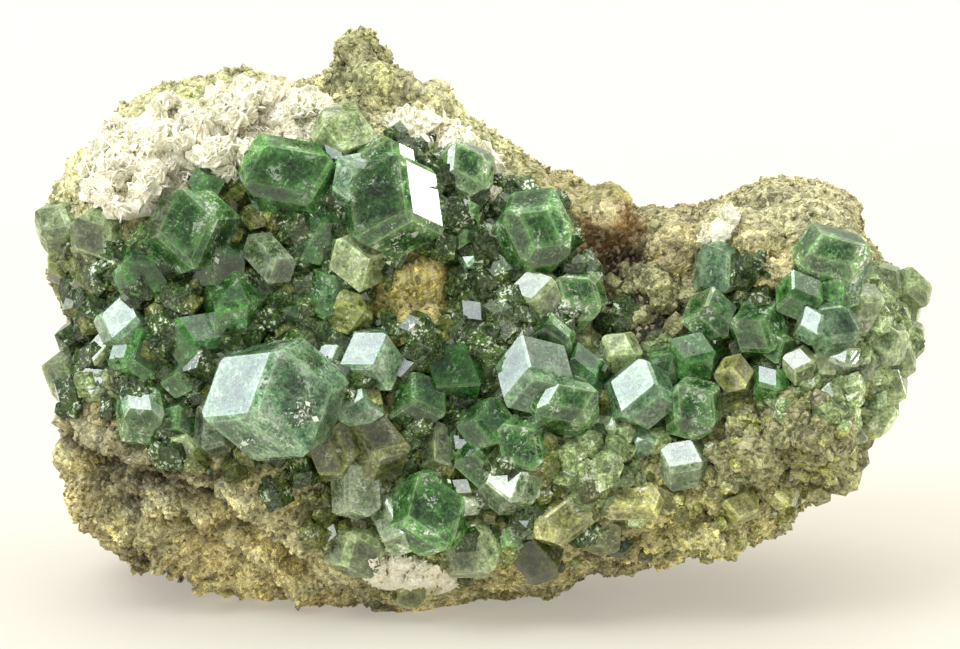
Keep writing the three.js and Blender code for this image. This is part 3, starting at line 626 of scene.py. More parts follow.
# Rows by look: [x, z, size, lift, yaw, pitch, spin, bevel, stretch, light]. Size is half the width between
# two rhombs, lift is how far the middle stands out of the smooth face, angles are in degrees, and light
# multiplies the tint. The last three may be left out, and are then 1, 0 and 1.
crystals = {
    "deep": [
        [-19, 15.2, 3.6, 1.6, 0, 6, 115, 0.93, 0.28], [-27.4, 14.3, 1.7, 1.6, -35, 25, 20],
        [-33.6, 5.7, 2.8, 0.4, 10, -10, 60, 0.94, 0, 0.5], [-34, -2.2, 2.8, 0.3, 18, -6, 20, 0.94, 0, 0.7],
        [-28.2, -1.2, 2.8, 0, 12, 25, 65, 1, 0, 0.4], [-16.3, 9.4, 2, 0.6, -40, 10, 5, 1, 0.5],
        [-24.6, 2.8, 3, 0.4, -18, 28, 66, 1, 0.2], [-2.2, 10.6, 1.9, 0.4, -20, -10, 30, 1, 0.3, 1.6],
        [-1.2, 1.3, 2, 0.2, -20, -15, 0], [-2.1, -4.1, 3.3, 0.6, -12, 8, 58, 1, 0, 0.4],
        [10, -4.5, 2.6, 0.4, 15, 30, 10, 1, 0, 0.4], [-5, -18.2, 3.7, 1.4, 8, 6, 20, 0.94, 0.06, 1.6],
        [31.9, 3.4, 2.3, 0.8, 14, 24, 30], [36, 3.6, 1.9, 1, -30, 8, 35, 1, 0, 1.4],
        [21.6, -2.7, 2.4, 0.8, -10, 25, 70, 1, 0, 0.7], [29, -5.3, 1.7, 1, -15, 20, 40, 0.94, 0, 0.7],
    ],
    "green": [
        [-28.8, 9.8, 3.9, 1.6, -4, 4, 12, 0.94, 0.06], [-8.9, 12.6, 4.4, 1.2, 46, 10, 36, 1, 0.06, 1.5],
        [-9.3, 16.6, 2.6, 1, 46, 10, 36, 1, 0, 2], [-33.6, -8.3, 2.7, 0.8, -8, 20, 50, 0.94, 0.1, 1.4],
        [-26.2, 6.4, 2.7, 0.2, 25, -15, 40, 1, 0, 0.4], [-1.7, 15.7, 2.8, 0.8, 10, 12, 28, 0.94, 0, 2.2],
        [5.4, 9.8, 3.5, 1.4, 8, -2, 62, 0.92, 0.14], [9.6, 3, 2.8, 1.2, 4, 8, 50, 0.94, 0, 1.8],
        [-6.1, -7.1, 2.7, 1, 22, 14, 30, 1, 0, 0.7], [8.2, -7.3, 2.8, 1.8, 12, 6, -66, 0.94, 0.2, 1.3],
        [18.6, -4, 2, 0.4, 30, -10, 25, 1, 0, 0.8], [7.2, -1.1, 2.1, 1.2, -14, -10, 85, 0.94, 0.15, 1.2],
        [1, -9.6, 2.5, 0.8, 12, 20, 0, 1, 0, 0.7], [4.2, -11.4, 2.8, 1, -8, -5, 45, 1, 0, 1.4],
        [0, -13.5, 1.9, 1, -5, -20, 80, 1, 0.4, 1.2], [23.4, 1.3, 2.6, 1, 15, 18, 10, 1, 0, 1.7],
        [27.6, 0.1, 2.6, 1, -14, -12, 52], [35.3, 7, 3, 1.2, 2, 10, -70, 0.92, 0.26, 1.8],
        [21.2, -7.8, 2.6, 1.6, 2, 2, 40, 0.94, 0.1, 1.4], [-29.6, -4.9, 1.8, 0.6, 15, 20, 10],
        [-29.8, -9, 1.8, 0.4, 20, -5, 30], [-2.9, -11, 1.3, 0.2, -25, 5, 35, 1, 0.7, 0.6],
        [2.9, -20.2, 1.3, 0.4, 10, 5, 50, 1, 0.6, 2], [29.6, -1.9, 1.6, 0.4, -20, 5, 20],
        [-19.4, 1.6, 2.2, -0.2, 30, 5, 10, 1, 0, 0.6], [-15, 3.4, 2, 0.4, -30, 10, 35, 1, 0.4, 0.8],
    ],
    "teal": [
        [-12, 14.8, 2.6, 1.6, -25, 5, 26], [-35.6, 0.4, 2.4, 1, -9, 20, -9],
        [-20.2, -6.8, 5.3, 2.2, -44, 14, -50, 1, 0.12], [-10.9, -3, 2.9, 1.4, -15, 18, -55],
        [-12.3, -7.4, 2.3, 0.8, -15, 18, -20], [-0.6, 7.3, 1.7, 0.6, -15, 20, -2],
        [5.7, -4.6, 3.7, 1.4, -42, 11, -8, 1, 0, 0.7], [15.7, -6.5, 3.2, 1.6, -12, 18, -13, 1, 0, 0.7],
        [23.8, 6, 2, 1.4, -12, 4, 34, 1, 0.3], [33.2, 0.4, 1.7, 1.6, -15, 20, 25],
        [35, 0.2, 2.5, 0.8, 12, 10, 62, 0.94, 0, 0.7], [-14.8, -2.7, 1.3, 1.4, -15, 18, -55],
        [16.4, -11, 1.4, 1, -20, 20, 70, 1, 0, 0.7],
    ],
    "pale": [
        [-38.1, -2.4, 1.8, 0.8, -15, 20, 0], [-38.2, -5.3, 2.1, 1, -15, 18, -4],
        [-41.8, -4.8, 2.3, 0.4, -35, -5, 60, 1, 0.15], [-12.2, 7.2, 2.9, 0.6, 20, 30, 80, 1, 0, 1.6],
        [5.6, 3.4, 2.4, 0.8, -15, 24, -75], [14, -2.3, 1.9, 1.2, -6, 26, 60, 1, 0, 1.5],
        [-13.6, 19.4, 2.9, 0.8, 22, 12, 70, 1, 0, 1.7], [-38.6, 9.8, 2.5, 0.8, -12, -12, 35, 0.94],
        [-42.6, 10.6, 2.4, 0.8, -24, 12, 64, 0.94], [42.2, 2.4, 2.5, 0.4, 20, 4, 25, 0.93],
        [41.4, -2.9, 2.3, 0.4, 24, -6, 60, 0.93], [38, -3.6, 1.9, 0.5, 4, 12, 10, 0.93, 0, 0.6],
        [38.4, -6.9, 2, 0.3, 10, -4, 45, 0.93], [37.2, -10.2, 1.8, 0.2, 6, -10, 70, 0.93, 0, 0.8],
        [-4.2, -11.4, 1.5, 0.6, 20, 5, 35, 1, 0.7], [-0.8, -21.6, 3.2, 0.6, -10, -14, 55, 0.94, 0, 1.6],
        [-12.4, -22, 2.7, 0.4, 15, -20, 25, 0.94], [37.9, 2, 2, 0.6, -40, 8, 5, 1, 0.3],
        [40.4, 4.6, 2.1, 0.4, 12, 10, 40, 0.94], [43.4, 4, 2.2, 0.4, 32, 10, 15, 0.94],
        [31.9, -3.5, 1.6, 1.2, -15, 20, 80], [42, 1.4, 1.5, 1, 10, 0, 60, 0.94],
        [34, -3.6, 1.4, 0.2, 15, 10, 50], [-29.4, -11.6, 1.9, 0, -5, -20, 75, 1, 0.2, 1.8],
        [43.6, -0.5, 1.5, 0.4, 25, -5, 30, 0.94], [40.1, -1.6, 2.5, 0.6, 5, 10, 20, 0.94],
        [40.3, -5.2, 2.6, 0.4, 15, -5, 55, 0.94, 0, 1.4], [39.5, -8.3, 2.3, 0.2, 12, -15, 10, 0.94, 0, 1.5],
    ],
    "yellow": [
        [8.4, -18.8, 2, 1.5, 10, 5, -18, 0.94, 0.6, 1.5], [14.6, -17, 1.8, 1.5, 0, 4, -55, 0.94, 0.9, 1.6],
        [36.4, -12, 1.7, 0.2, 10, -18, 40, 0.94, 0, 1.6], [25.6, -4.5, 1.8, 0.8, 20, 15, 0],
        [24.6, -14.6, 1.7, 0.6, 10, -10, 30, 0.94, 0, 0.7], [26, -17.4, 1.8, 0.4, 5, -5, 75, 0.94, 0, 1.3],
        [34.4, -6.6, 1.6, 0.8, 0, 30, 60], [30.4, -16.4, 1.6, 0.2, 15, 10, 10, 1, 0, 2],
        [18.2, -17, 1.5, 0.2, 10, -5, 30, 1, 0, 1.4],
    ],
    "olive": [
        [-42.4, 6.8, 1.6, 0.6, -30, 5, 40, 1, 0.3, 2], [-13.2, 1.6, 2.2, 0.8, 5, 40, 30, 1, 0, 2.2],
        [2, 1.7, 2.1, 0.2, 25, 25, 30, 1, 0, 1.3], [-10.4, -11.4, 3, 0.4, 10, 22, 70, 1, 0.1],
        [-14.6, -11.6, 2.4, 0.2, -25, -10, 55, 1, 0.3, 1.4],
        [5.8, -22.6, 2.2, 0.2, -10, -10, 75, 1, 0.2, 0.5], [-7.2, -26.6, 1.5, 0.6, 0, -20, 30, 1, 0, 1.4],
        [12.3, -20.4, 2, 0, 20, -10, 35], [-39, 5.2, 1.9, 0.2, -20, 10, 20],
    ],
    "clear": [
        [-21, 7, 1.9, 1.4, 16, 44, 62, 1, 0.5], [2.9, -15.4, 2.7, 1.6, -10, 18, 18, 1, 0, 1.8],
        [-8.6, -18.6, 2, 0.8, -38, 8, 72, 1, 0.9, 2], [4.6, -19, 1.7, 0.8, -15, 20, 30, 1, 0, 2.2],
        [20.6, -13.3, 2.4, 0.6, -15, 20, 65], [-26.6, -9.9, 1.7, 1, -58, 5, 35, 1, 0.4],
        [12.9, -9.6, 1.2, 1, -15, 22, 50, 1, 0, 2], [5, -15.7, 1.4, 1, 20, 30, 10, 1, 0, 2.2],
        [-1.3, -17, 1.3, 1.4, 18, 28, 60, 1, 0.2, 1.8], [36.1, -2.9, 1.5, 0.8, -15, 20, 30],
        [-12.2, -15.4, 2.4, 0.4, 14, -12, 40, 1, 0.3, 1.5],
    ],
}


def insideCrystals(where):
    # how far each place lies inside the nearest crystal, from 0 at its faces to 1
    deep = np.zeros(len(where))
    for x, z, size, lift, *_ in (row for rows in crystals.values() for row in rows):
        far = np.linalg.norm(where - (x, float(frontAt(x, z)) - lift, z), axis=1)
        deep = np.maximum(deep, smoothStep(1.06 - far / size, 0, 0.1))
    return deep


def rockTint(where, unshaded, edge, flank, front):
    # colours of the rock by place: a base, soft-edged patches over it, painted shade that darkens it between
    # its knobs and lobes and under its ledges' lips, and a bed of fine green grains under the crystals
    x, y, z = where.T
    colour = np.tile(shade(*rock["base"]), (len(where), 1))

    def lay(share, rgb):
        # the colour so far moved towards another by a share
        nonlocal colour
        colour = colour + np.clip(share, 0, 1)[:, None] * (shade(*rgb) - colour)

    cream, paler, rusty = rock["flankColours"]
    lay(flank, cream)
    lay(flank * smoothStep(noise(where, 5, 17), 0, 0.6), paler)
    lay(0.7 * flank * smoothStep(noise(where, 4, 18), 0.1, 0.6), rusty)
    lay(smoothStep(z - 0.2 * x, 12, 20), rock["topCrust"])
    for patchX, patchZ, radius, rgb, share in rock["patches"]:
        far = np.hypot(x - patchX, z - patchZ) / radius + 0.25 * noise(where, 2.2, 9)
        lay(front * share * smoothStep(-far, -1.15, -0.75), rgb)
    leftPart = smoothStep(-x, 8, 12)
    lay(0.8 * leftPart * smoothStep(edge, -0.2, 0.4) * smoothStep(-edge, -3.6, -1.6), rock["brow"])
    # painted shade: the hollow under the shelf is coloured dark
    lay(leftPart * smoothStep(-edge, 0.1, 0.6) * smoothStep(edge, -2.2, -0.8), rock["hollow"])
    lay(0.3 * smoothStep(y, 4, 12), rock["backFilm"])
    # painted shade: the colour is darker where a place is less open
    colour = colour * (0.16 + 0.95 * unshaded)[:, None] * (1 + 0.16 * roughness(where, 3, 3, 6))[:, None]
    own = cells(where, 0.9, 31)[1]
    bed = shade(*rock["bed"]) * (0.25 + 0.75 * own[:, None] ** 2)
    return colour + insideCrystals(where)[:, None] * (bed - colour)


points, unshaded, edge, flank, front = rockSurface()
ringCount, around = points.shape[:2]
where = points.reshape(-1, 3)
tint = rockTint(where, unshaded, edge, flank, front)
ring = np.arange(ringCount - 1)[:, None] * around
here = np.arange(around)
ahead = np.roll(here, -1)
quads = np.stack([ring + here, ring + ahead, ring + around + ahead, ring + around + here], -1).reshape(-1, 4)
stone = granular(
    "green skarn", grain=0.42, bump=0.8, rough=0.85, gloss=0.2, contrast=0.52, paleGrains=shade(230, 222, 180)
)
matrixRock = newPiece("matrix_rock", where, quads, stone, ("matrix",), tint, smooth=True)
sewn = bmesh.new()
sewn.from_mesh(matrixRock.data)
bmesh.ops.remove_doubles(sewn, verts=sewn.verts, dist=1e-7)  # closes the grid along the spine
sewn.to_mesh(matrixRock.data)
sewn.free()
rockNormals = gridNormals(points)
print("rock:", len(where), "points")


def scattered(count, weight):
    # places on the rock's grid, more of them where weight is high: a cell for each by its area, then a
    # place in the cell; gives the place, the way out and the colour there
    a, b, c = points[:-1], np.roll(points, -1, axis=1)[:-1], points[1:]
    area = np.linalg.norm(np.cross(b - a, c - a), axis=-1)
    share = (area * weight.reshape(ringCount, around)[:-1]).ravel()
    i, j = np.divmod(rng.choice(share.size, count, p=share / share.sum()), around)
    u, v = rng.random((2, count))
    after = (j + 1) % around

    def blend(grid):
        # between a cell's four corners, by how far along and down it the place is
        upper = grid[i, j].T * (1 - u) + grid[i, after].T * u
        lower = grid[i + 1, j].T * (1 - u) + grid[i + 1, after].T * u
        return (upper * (1 - v) + lower * v).T

    return blend(points), unit(blend(rockNormals)), blend(tint.reshape(ringCount, around, 3))


def randomTurns(count):
    # a random turn for each, from four random numbers taken as a quaternion
    w, x, y, z = unit(rng.normal(size=(count, 4))).T
    return np.stack([
        np.stack([1 - 2 * (y * y + z * z), 2 * (x * y - w * z), 2 * (x * z + w * y)], -1),
        np.stack([2 * (x * y + w * z), 1 - 2 * (x * x + z * z), 2 * (y * z - w * x)], -1),
        np.stack([2 * (x * z - w * y), 2 * (y * z + w * x), 1 - 2 * (x * x + y * y)], -1),
    ], 1)


def strewn(name, form, places, scales, turns, material, nodes, colours):
    # one mesh of many copies of a small form, each with its own place, size, turn and colour
    corners, faces = form
    count, each = len(places), len(corners)
    copies = places[:, None] + np.einsum("nij,nkj->nki", turns, corners[None] * scales[:, None])
    first = np.arange(count)[:, None, None] * each
    shifted = [(first + f[None]).reshape(-1, f.shape[1]) for f in faces]
    tints = np.repeat(colours, each, axis=0)
    newPiece(name, copies.reshape(-1, 3), shifted, material, nodes, tints)


x, y, z = where.T
onFront = front * smoothStep(-y, 1, 5)
# grains are thickest along the top, over the right end and along the bottom
crust = smoothStep(z - 0.25 * x, 10, 18) + smoothStep(x, 14, 24) + smoothStep(-z, 12, 17)
crust = np.clip(crust, 0, 1)

# grains stand out all over the rock: blunt octahedra of uneven width
grains = {"count": 15000, "size": (0.16, 0.5), "uneven": (0.7, 1.3), "light": (0.75, 1.45), "standOut": 0.05}
octahedron = (
    np.array([[1, 0, 0], [-1, 0, 0], [0, 1, 0], [0, -1, 0], [0, 0, 1], [0, 0, -1]], float),
    [np.array([[0, 2, 4], [2, 1, 4], [1, 3, 4], [3, 0, 4], [2, 0, 5], [1, 2, 5], [3, 1, 5], [0, 3, 5]])],
)
count = grains["count"]
places, ways, colours = scattered(count, 0.35 + 1.2 * crust + 0.2 * flank)
scales = rng.uniform(*grains["size"], (count, 1)) * rng.uniform(*grains["uneven"], (count, 3))
colours = colours * rng.uniform(*grains["light"], (count, 1))
places = places + ways * grains["standOut"]
strewn("rock_grains", octahedron, places, scales, randomTurns(count), stone, ("matrix",), colours)
print("rock grains:", count)

# garnet crystals: the twelve rhombs of {110}, and the twenty-four narrow faces of {211} on their edges
signs = (-1, 1)
turned = lambda x, y, z: [(x, y, z), (z, x, y), (y, z, x)]
rhombs = np.array([v for a in signs for b in signs for v in turned(a, b, 0)]) / math.sqrt(2)
bevels = np.array([v for a in (-2, 2) for b in signs for c in signs for v in turned(a, b, c)]) / math.sqrt(6)
faceCount = len(rhombs) + len(bevels)
triples = np.array([(i, j, k) for i in range(faceCount) for j in range(i) for k in range(j)])


def garnetForm(size, bevel, stretch, uneven=0.08, towards=None):
    # Corners are where three faces' planes meet inside all others, and a face is its corners in order round.
    # A bevel below 1 cuts the edges, and a stretch draws the crystal out. Each rhomb's distance is a little
    # uneven. Faces that look towards the way given lie nearer the middle, and so are larger.
    ways = np.vstack([rhombs, bevels])
    far = np.r_[np.full(len(rhombs), size), np.full(len(bevels), size * bevel * 2 / math.sqrt(3))]
    far = far * (1 + stretch * np.abs(ways @ np.array([1, -1, 1]) / math.sqrt(3)))
    own = hashed(np.arange(len(rhombs)), size * 10, stretch * 10)
    far[:len(rhombs)] *= 1 + uneven * (2 * own - 1)
    if towards is not None:
        far = far * (1 - 0.16 * np.clip(ways @ towards, 0, 1) ** 5)
    solvable = triples[np.abs(np.linalg.det(ways[triples])) > 1e-5]
    meets = np.linalg.solve(ways[solvable], far[solvable][..., None])[..., 0]
    meets = meets[(meets @ ways.T < far + 1e-6).all(1)]
    corners = np.unique(np.round(meets, 4), axis=0)
    corners = corners[np.r_[True, np.linalg.norm(np.diff(corners, axis=0), axis=1) > 2e-3]]
    faces = []
    for way, d in zip(ways, far):
        on = np.nonzero(np.abs(corners @ way - d) < 2e-3)[0]
        if len(on) < 3:
            continue
        spoke = corners[on] - corners[on].mean(0)
        first = unit(spoke[0])
        faces.append(on[np.argsort(np.arctan2(spoke @ np.cross(way, first), spoke @ first))])
    return corners, faces


def crystalTurn(yaw, pitch, spin):
    # turns the main rhomb to look along yaw and pitch, its long diagonal spun from the upright
    a, b, c = np.radians([yaw, pitch, spin])
    outward = np.array([math.sin(a) * math.cos(b), -math.cos(a) * math.cos(b), math.sin(b)])
    upright = unit(np.array([0, 0, 1.0]) - outward * outward[2])
    diagonal = upright * math.cos(c) + np.cross(outward, upright) * math.sin(c)
    own = np.stack([(1, 1, 0) / np.sqrt(2), (1, -1, 0) / np.sqrt(2), (0, 0, -1)], -1)
    return np.stack([outward, diagonal, np.cross(outward, diagonal)], -1) @ own.T


# the bevel of crystals that have none of their own, which is hair-thin; how the light differs among crystals
# and, painted as reflection, among their broad faces, and how much paler the narrow faces are painted as a
# highlight; how far out in a crystal its flecks lie
facets = {"bevel": 0.982, "light": (0.85, 1.15), "broad": (0.7, 1.3), "narrowHighlight": 1.55, "fleckReach": 0.9}


def crystalGroup(name, rows, material, greenPower):
    # one piece of all the crystals of a look; each face is a fan of triangles round its middle, which knows
    # how far in from the edge it is; a row's light counts for green to the power given
    allCorners, allFaces, allAcross, allTints, allInsets, start = [], [], [], [], [], 0
    for row in rows:
        x, z, size, lift, yaw, pitch, spin, bevel, stretch, light = [*row, *[1, 0, 1][len(row) - 7:]]
        turn = crystalTurn(yaw, pitch, spin)
        towards = np.array([0, -1, -0.2]) @ turn
        corners, faces = garnetForm(size, min(bevel, facets["bevel"]), stretch, towards=towards)
        own = rng.uniform(*facets["light"]) * light ** np.array([1, greenPower, 1])
        placed = corners @ turn.T + (x, float(frontAt(x, z)) - lift, z)
        hubs, insets = [], []
        for face in faces:
            # places along and across each face, in millimetres, for its growth lines
            spokes = placed[face] - placed[face].mean(0)
            along = unit(turn @ np.array([0, 0, 1.0]))
            normal = unit(np.cross(spokes[0], spokes[1]))
            along = unit(along - normal * (along @ normal)) if abs(along @ normal) < 0.95 else unit(spokes[0])
            across = np.stack([spokes @ np.cross(normal, along) + 7 * start, spokes @ along], -1)
            count = len(face)
            ahead = (np.arange(count) + 1) % count
            hub = start + len(corners) + len(hubs)
            allFaces.append(np.stack([np.full(count, hub), face + start, face[ahead] + start], -1))
            middles = np.tile([7.0 * start, 0], (count, 1))
            allAcross.append(np.stack([middles, across, across[ahead]], 1).reshape(-1, 2))
            hubs.append(placed[face].mean(0))
            edges = spokes[ahead] - spokes
            away = np.linalg.norm(np.cross(spokes, edges), axis=1) / np.linalg.norm(edges, axis=1)
            insets.append(away.mean())
            # narrow faces are painted paler as a highlight, and broad ones lighter or darker for how much
            # light they give back
            area = np.linalg.norm(np.cross(spokes, np.roll(spokes, -1, axis=0)).sum(0)) / 2
            lightness = facets["narrowHighlight"] if area < 0.5 * size**2 else rng.uniform(*facets["broad"])
            allTints.append(np.tile(own * lightness, (3 * count, 1)))
        allCorners += [placed, np.array(hubs)]
        allInsets += [np.zeros(len(corners)), np.array(insets)]
        start += len(corners) + len(hubs)
        number = int(flecks["perMillimetre"] * size)
        spots = unit(rng.normal(size=(number, 3))) * size * facets["fleckReach"]
        spots = spots * rng.random((number, 1)) ** 0.5
        inner.append(spots + (x, float(frontAt(x, z)) - lift, z))
    corners, tints = np.concatenate(allCorners), np.concatenate(allTints)
    piece = newPiece(name, corners, allFaces, material, garnetNodes, tints, domain="CORNER")
    inset = piece.data.attributes.new("inset", "FLOAT", "POINT")
    inset.data.foreach_set("value", np.concatenate(allInsets).astype(np.float32))
    layer = piece.data.uv_layers.new(name="across")
    layer.data.foreach_set("uv", np.concatenate(allAcross).astype(np.float32).ravel())


# flecks are small flat healed cracks inside the crystals, which glint through their faces
flecks = {
    "perMillimetre": 26, "size": (0.05, 0.36), "flatness": 0.12, "uneven": (0.6, 1.4), "light": (0.3, 1.1),
    "colour": shade(236, 246, 226), "roughness": 0.25, "ior": 1.6,
    # patches of them: x, z, depth in front of the smooth face, radius, number
    "patches": [
        [-18, -8, 6.5, 0.9, 260], [-22, -10, 4.8, 1.1, 90], [9, -7, 2.7, 0.9, 80], [-27, 7.6, 3, 0.9, 80],
        [-17, 13.4, 2.6, 0.9, 90], [-4, -16.6, 2.9, 0.9, 70], [7, 11, 2.8, 0.9, 60],
    ],
}
# among the green ones the lighter crystals are greyer too
greenPowers = {"deep": 0.65, "green": 0.7, "teal": 0.8, "clear": 0.95}
inner = []
for name, rows in crystals.items():
    crystalGroup("crystals_" + name, rows, garnet(name + " garnet", looks[name]), greenPowers.get(name, 1))
print("crystals:", sum(len(rows) for rows in crystals.values()))

for x, z, depth, radius, number in flecks["patches"]:
    spots = rng.normal(size=(number, 3)) * radius * (0.8, 0.2, 0.8)
    inner.append(spots + (x, float(frontAt(x, z)) - depth, z))
inner = np.concatenate(inner)
count = len(inner)
scales = rng.uniform(*flecks["size"], (count, 1)) * np.array([1, 1, flecks["flatness"]])
scales = scales * rng.uniform(*flecks["uneven"], (count, 3))
glint, tree, _ = blank("healed cracks")
finish = {"Base Color": stored(tree, "tint")["Color"], "Roughness": flecks["roughness"], "IOR": flecks["ior"]}
surface = addNode(tree, "BsdfPrincipled", finish)
addNode(tree, "OutputMaterial", {"Surface": surface.outputs[0]})
shades = flecks["colour"] * rng.uniform(*flecks["light"], (count, 1))
strewn("inner_flecks", octahedron, inner, scales, randomTurns(count), glint, garnetNodes, shades)
print("flecks:", count)

# a druse of small garnets fills the gaps between the crystals, darker on the left, paler to the right; its
# beds are given as x, z, radius and weight, and the places that it leaves bare as x, z and radius
druse = {
    "green": {
        "look": "moss", "count": 1500, "size": (0.35, 1.8),
        "beds": [[-20, 2, 22, 1], [-36, 0, 8, 0.8], [-2, 8, 12, 1], [3, -7, 14, 1], [30, 1, 10, 0.9]],
    },
    "olive": {
        "look": "olive", "count": 1200, "size": (0.3, 1.3),
        "beds": [[-8, -16, 12, 1], [-40, 6, 6, 0.8], [12, -14, 9, 0.6], [-22, 4, 16, 0.75], [0, 2, 9, 0.8]],
    },
    "pale": {
        "look": "pale", "count": 700, "size": (0.3, 1.3),
        "beds": [[12, -13, 7, 0.9], [41, 0, 7, 1], [33, -6, 6, 0.6], [-40, -4, 4, 0.7]],
    },
    "yellow": {
        "look": "yellow", "count": 800, "size": (0.2, 0.7),
        "beds": [[24, -16, 12, 1], [36, -8, 9, 1], [40, 0, 6, 0.7]],
    },
}
# how many more small ones than large there are, how far they stand out, and how their light varies
druseWay = {"small": 2.2, "standOut": 0.35, "light": (0.75, 1.5)}
bareParts = [
    [-6.5, 4.4, 4.9], [-36, 14, 4.6], [14, 8, 5.5], [-12, 27, 9], [-22, 25, 7], [-32, 21, 7], [-42, 18, 7],
    [0, 23, 7], [6, 17, 4], [12, 15, 5], [22, 10, 6], [30, 12, 5], [36, 14, 5],
]
# a plain twelve-faced garnet, each rhomb a fan of four triangles round its middle
rhombCorners, rhombFaces = garnetForm(1, 1.2, 0, uneven=0)
rhombFaces = np.array(rhombFaces)
hubs = np.repeat(len(rhombCorners) + np.arange(len(rhombFaces)), 4)
rhombFan = np.stack([hubs, rhombFaces.ravel(), np.roll(rhombFaces, -1, axis=1).ravel()], -1)
rhombForm = (np.concatenate([rhombCorners, rhombCorners[rhombFaces].mean(1)]), [rhombFan])
x, y, z = where.T
bare = [smoothStep(np.hypot(x - a, z - b), 0.8 * r, 1.1 * r) for a, b, r in bareParts]
openPart = onFront * np.prod(bare, axis=0) * smoothStep(edge, 1, 3.5)
for name, part in druse.items():
    count = part["count"]
    places, ways, _ = scattered(count, bells(x, z, part["beds"]) ** 3 * openPart)
    low, high = part["size"]
    scales = low + (high - low) * rng.random((count, 1)) ** druseWay["small"]
    tints = np.repeat(rng.uniform(*druseWay["light"], (count, 1)), 3, axis=1)
    places = places + ways * scales * druseWay["standOut"]
    material = garnet(name + " druse", looks[part["look"]], solid=True)
    turns = randomTurns(count)
    strewn("druse_" + name, rhombForm, places, scales, turns, material, garnetNodes, tints)
print("druse:", sum(part["count"] for part in druse.values()))

# crumbs of rock lie in the hollow and over the lower right, in beds given as those of the druse are
crumbs = {
    "count": 240, "size": (0.4, 1.2), "uneven": (0.7, 1.2), "light": (0.6, 1.5), "standOut": 0.2,
    "colour": shade(136, 136, 92),
    "beds": [[17.5, 4, 4.5, 1], [32, -9.5, 6, 0.8], [26.5, -12.5, 5, 0.75], [36, -13, 4, 0.7]],
}
count = crumbs["count"]
places, ways, _ = scattered(count, bells(x, z, crumbs["beds"]) ** 3 * onFront)
scales = rng.uniform(*crumbs["size"], (count, 1)) * rng.uniform(*crumbs["uneven"], (count, 3))
shades = crumbs["colour"] * rng.uniform(*crumbs["light"], (count, 1))
places = places + ways * crumbs["standOut"]
strewn("rock_crumbs", rhombForm, places, scales, randomTurns(count), stone, ("matrix",), shades)

# Calcite: knobbly beds with thin blades standing on them. Each has its line over the face as x and z, half
# its width at each point of that line, its thickness, and the number and length of its blades.
calcite = {
    "calcite_upper": {
        "line": [
            [-40, 14.6], [-36.5, 15.6], [-32, 17.6], [-27.5, 18.6], [-23, 20.2], [-18, 21.4], [-14.6, 20.8],
        ],
        "wide": [3.4, 5, 5.4, 4.8, 4.2, 3.8, 2.6], "thick": 3.8, "blades": 5200, "long": (0.3, 1.2),
    },
    "calcite_rind": {
        "line": [[-9.6, 20.8], [-5.6, 20.2], [-2, 19], [0.8, 17], [1.6, 14.2], [1.6, 12.2]],
        "wide": [1.6, 1.9, 1.5, 1.3, 1, 0.7], "thick": 1.5, "blades": 700, "long": (0.3, 0.8),
    },
    "calcite_lower": {
        "line": [[-11.8, -23.6], [-9, -24.2], [-6, -24.9], [-2.2, -25.6]],
        "wide": [2, 2.3, 2.3, 1.7], "thick": 3.4, "blades": 800, "long": (0.25, 0.7),
    },
    "calcite_ridge": {
        "line": [[22.2, 8], [23.8, 9.4], [25.8, 12.2]],
        "wide": [0.8, 1.3, 0.9], "thick": 1.6, "blades": 320, "long": (0.25, 0.7),
    },
}
# steps along each piece of a line and across it; how far a bed's edge and its back lie inside the rock; the
# sizes of its knobs and beads, the least height of a knob and how much more some have, and a bead's height;
# its colour in the gaps, darker there as painted shade, and on the knobs, and how its light varies
chalkBed = {
    "along": 60, "across": 40, "sunk": 0.3, "root": 1.6,
    "knob": 2.8, "bead": 0.8, "knobHigh": 0.4, "knobMore": 0.8, "beadHigh": 0.16,
    "low": shade(250, 239, 204), "high": shade(255, 251, 230), "light": (0.88, 1.06),
}
# how blades lean as x, y and z, each with its middle and spread; their width to their length, how deep their
# feet stand, and how their light varies
bladeWay = {
    "lean": ((0, 0.5), (-0.8, 0.4), (0.7, 0.5)), "wide": (0.5, 1.1), "foot": 0.35, "light": (0.84, 1.08),
}
# depth of the foremost rock by place on the face, on a map of quarter millimetres
mapStep, mapLow, mapSize, unseen = 0.25, np.array([-50.0, -34]), (400, 280), 30.0
finer = np.repeat(points[:rock["frontRings"]], 3, axis=1)
finer = (finer + np.roll(finer, 1, axis=1) + np.roll(finer, -1, axis=1)) / 3
finer = np.concatenate([finer[:-1] * (1 - t) + finer[1:] * t for t in (0, 0.5)])
at = np.round((finer[..., [0, 2]] - mapLow) / mapStep).astype(int).reshape(-1, 2)
depthMap = np.full(mapSize, unseen)
np.minimum.at(depthMap, (at[:, 0], at[:, 1]), finer[..., 1].ravel())


def rockDepth(x, z):
    # the foremost rock near a place: the fourth of the map's nine squares round it, in order of depth
    i, j = np.moveaxis(np.round((np.stack([x, z], -1) - mapLow) / mapStep).astype(int), -1, 0)
    near = np.stack([depthMap[i + a, j + b] for a in (-1, 0, 1) for b in (-1, 0, 1)])
    near = np.sort(near, axis=0)[3]
    return np.where(near > 25, frontAt(x, z), near)


chalk = granular(
    "cream calcite", grain=0.3, bump=0.5, rough=0.8, gloss=0.4, contrast=0.12, paleGrains=shade(252, 248, 236)
)
# a blade's outline as x and z, its thickness at each corner, and its faces: front, back and edge
bladeLine = np.array([[-0.5, -0.2], [0.5, -0.2], [0.42, 0.75], [0, 1], [-0.46, 0.7]])
bladeThick = np.array([0.14, 0.14, 0.1, 0.08, 0.1])
bladeForm = (
    np.array([[x, y, z] for thick in (0 * bladeThick, bladeThick) for (x, z), y in zip(bladeLine, thick)]),
    [
        np.array([[0, 1, 2], [0, 2, 4], [4, 2, 3], [7, 6, 5], [9, 7, 5], [8, 7, 9]]),
        np.array([[0, 5, 6, 1], [1, 6, 7, 2], [2, 7, 8, 3], [3, 8, 9, 4], [4, 9, 5, 0]]),
    ],
)


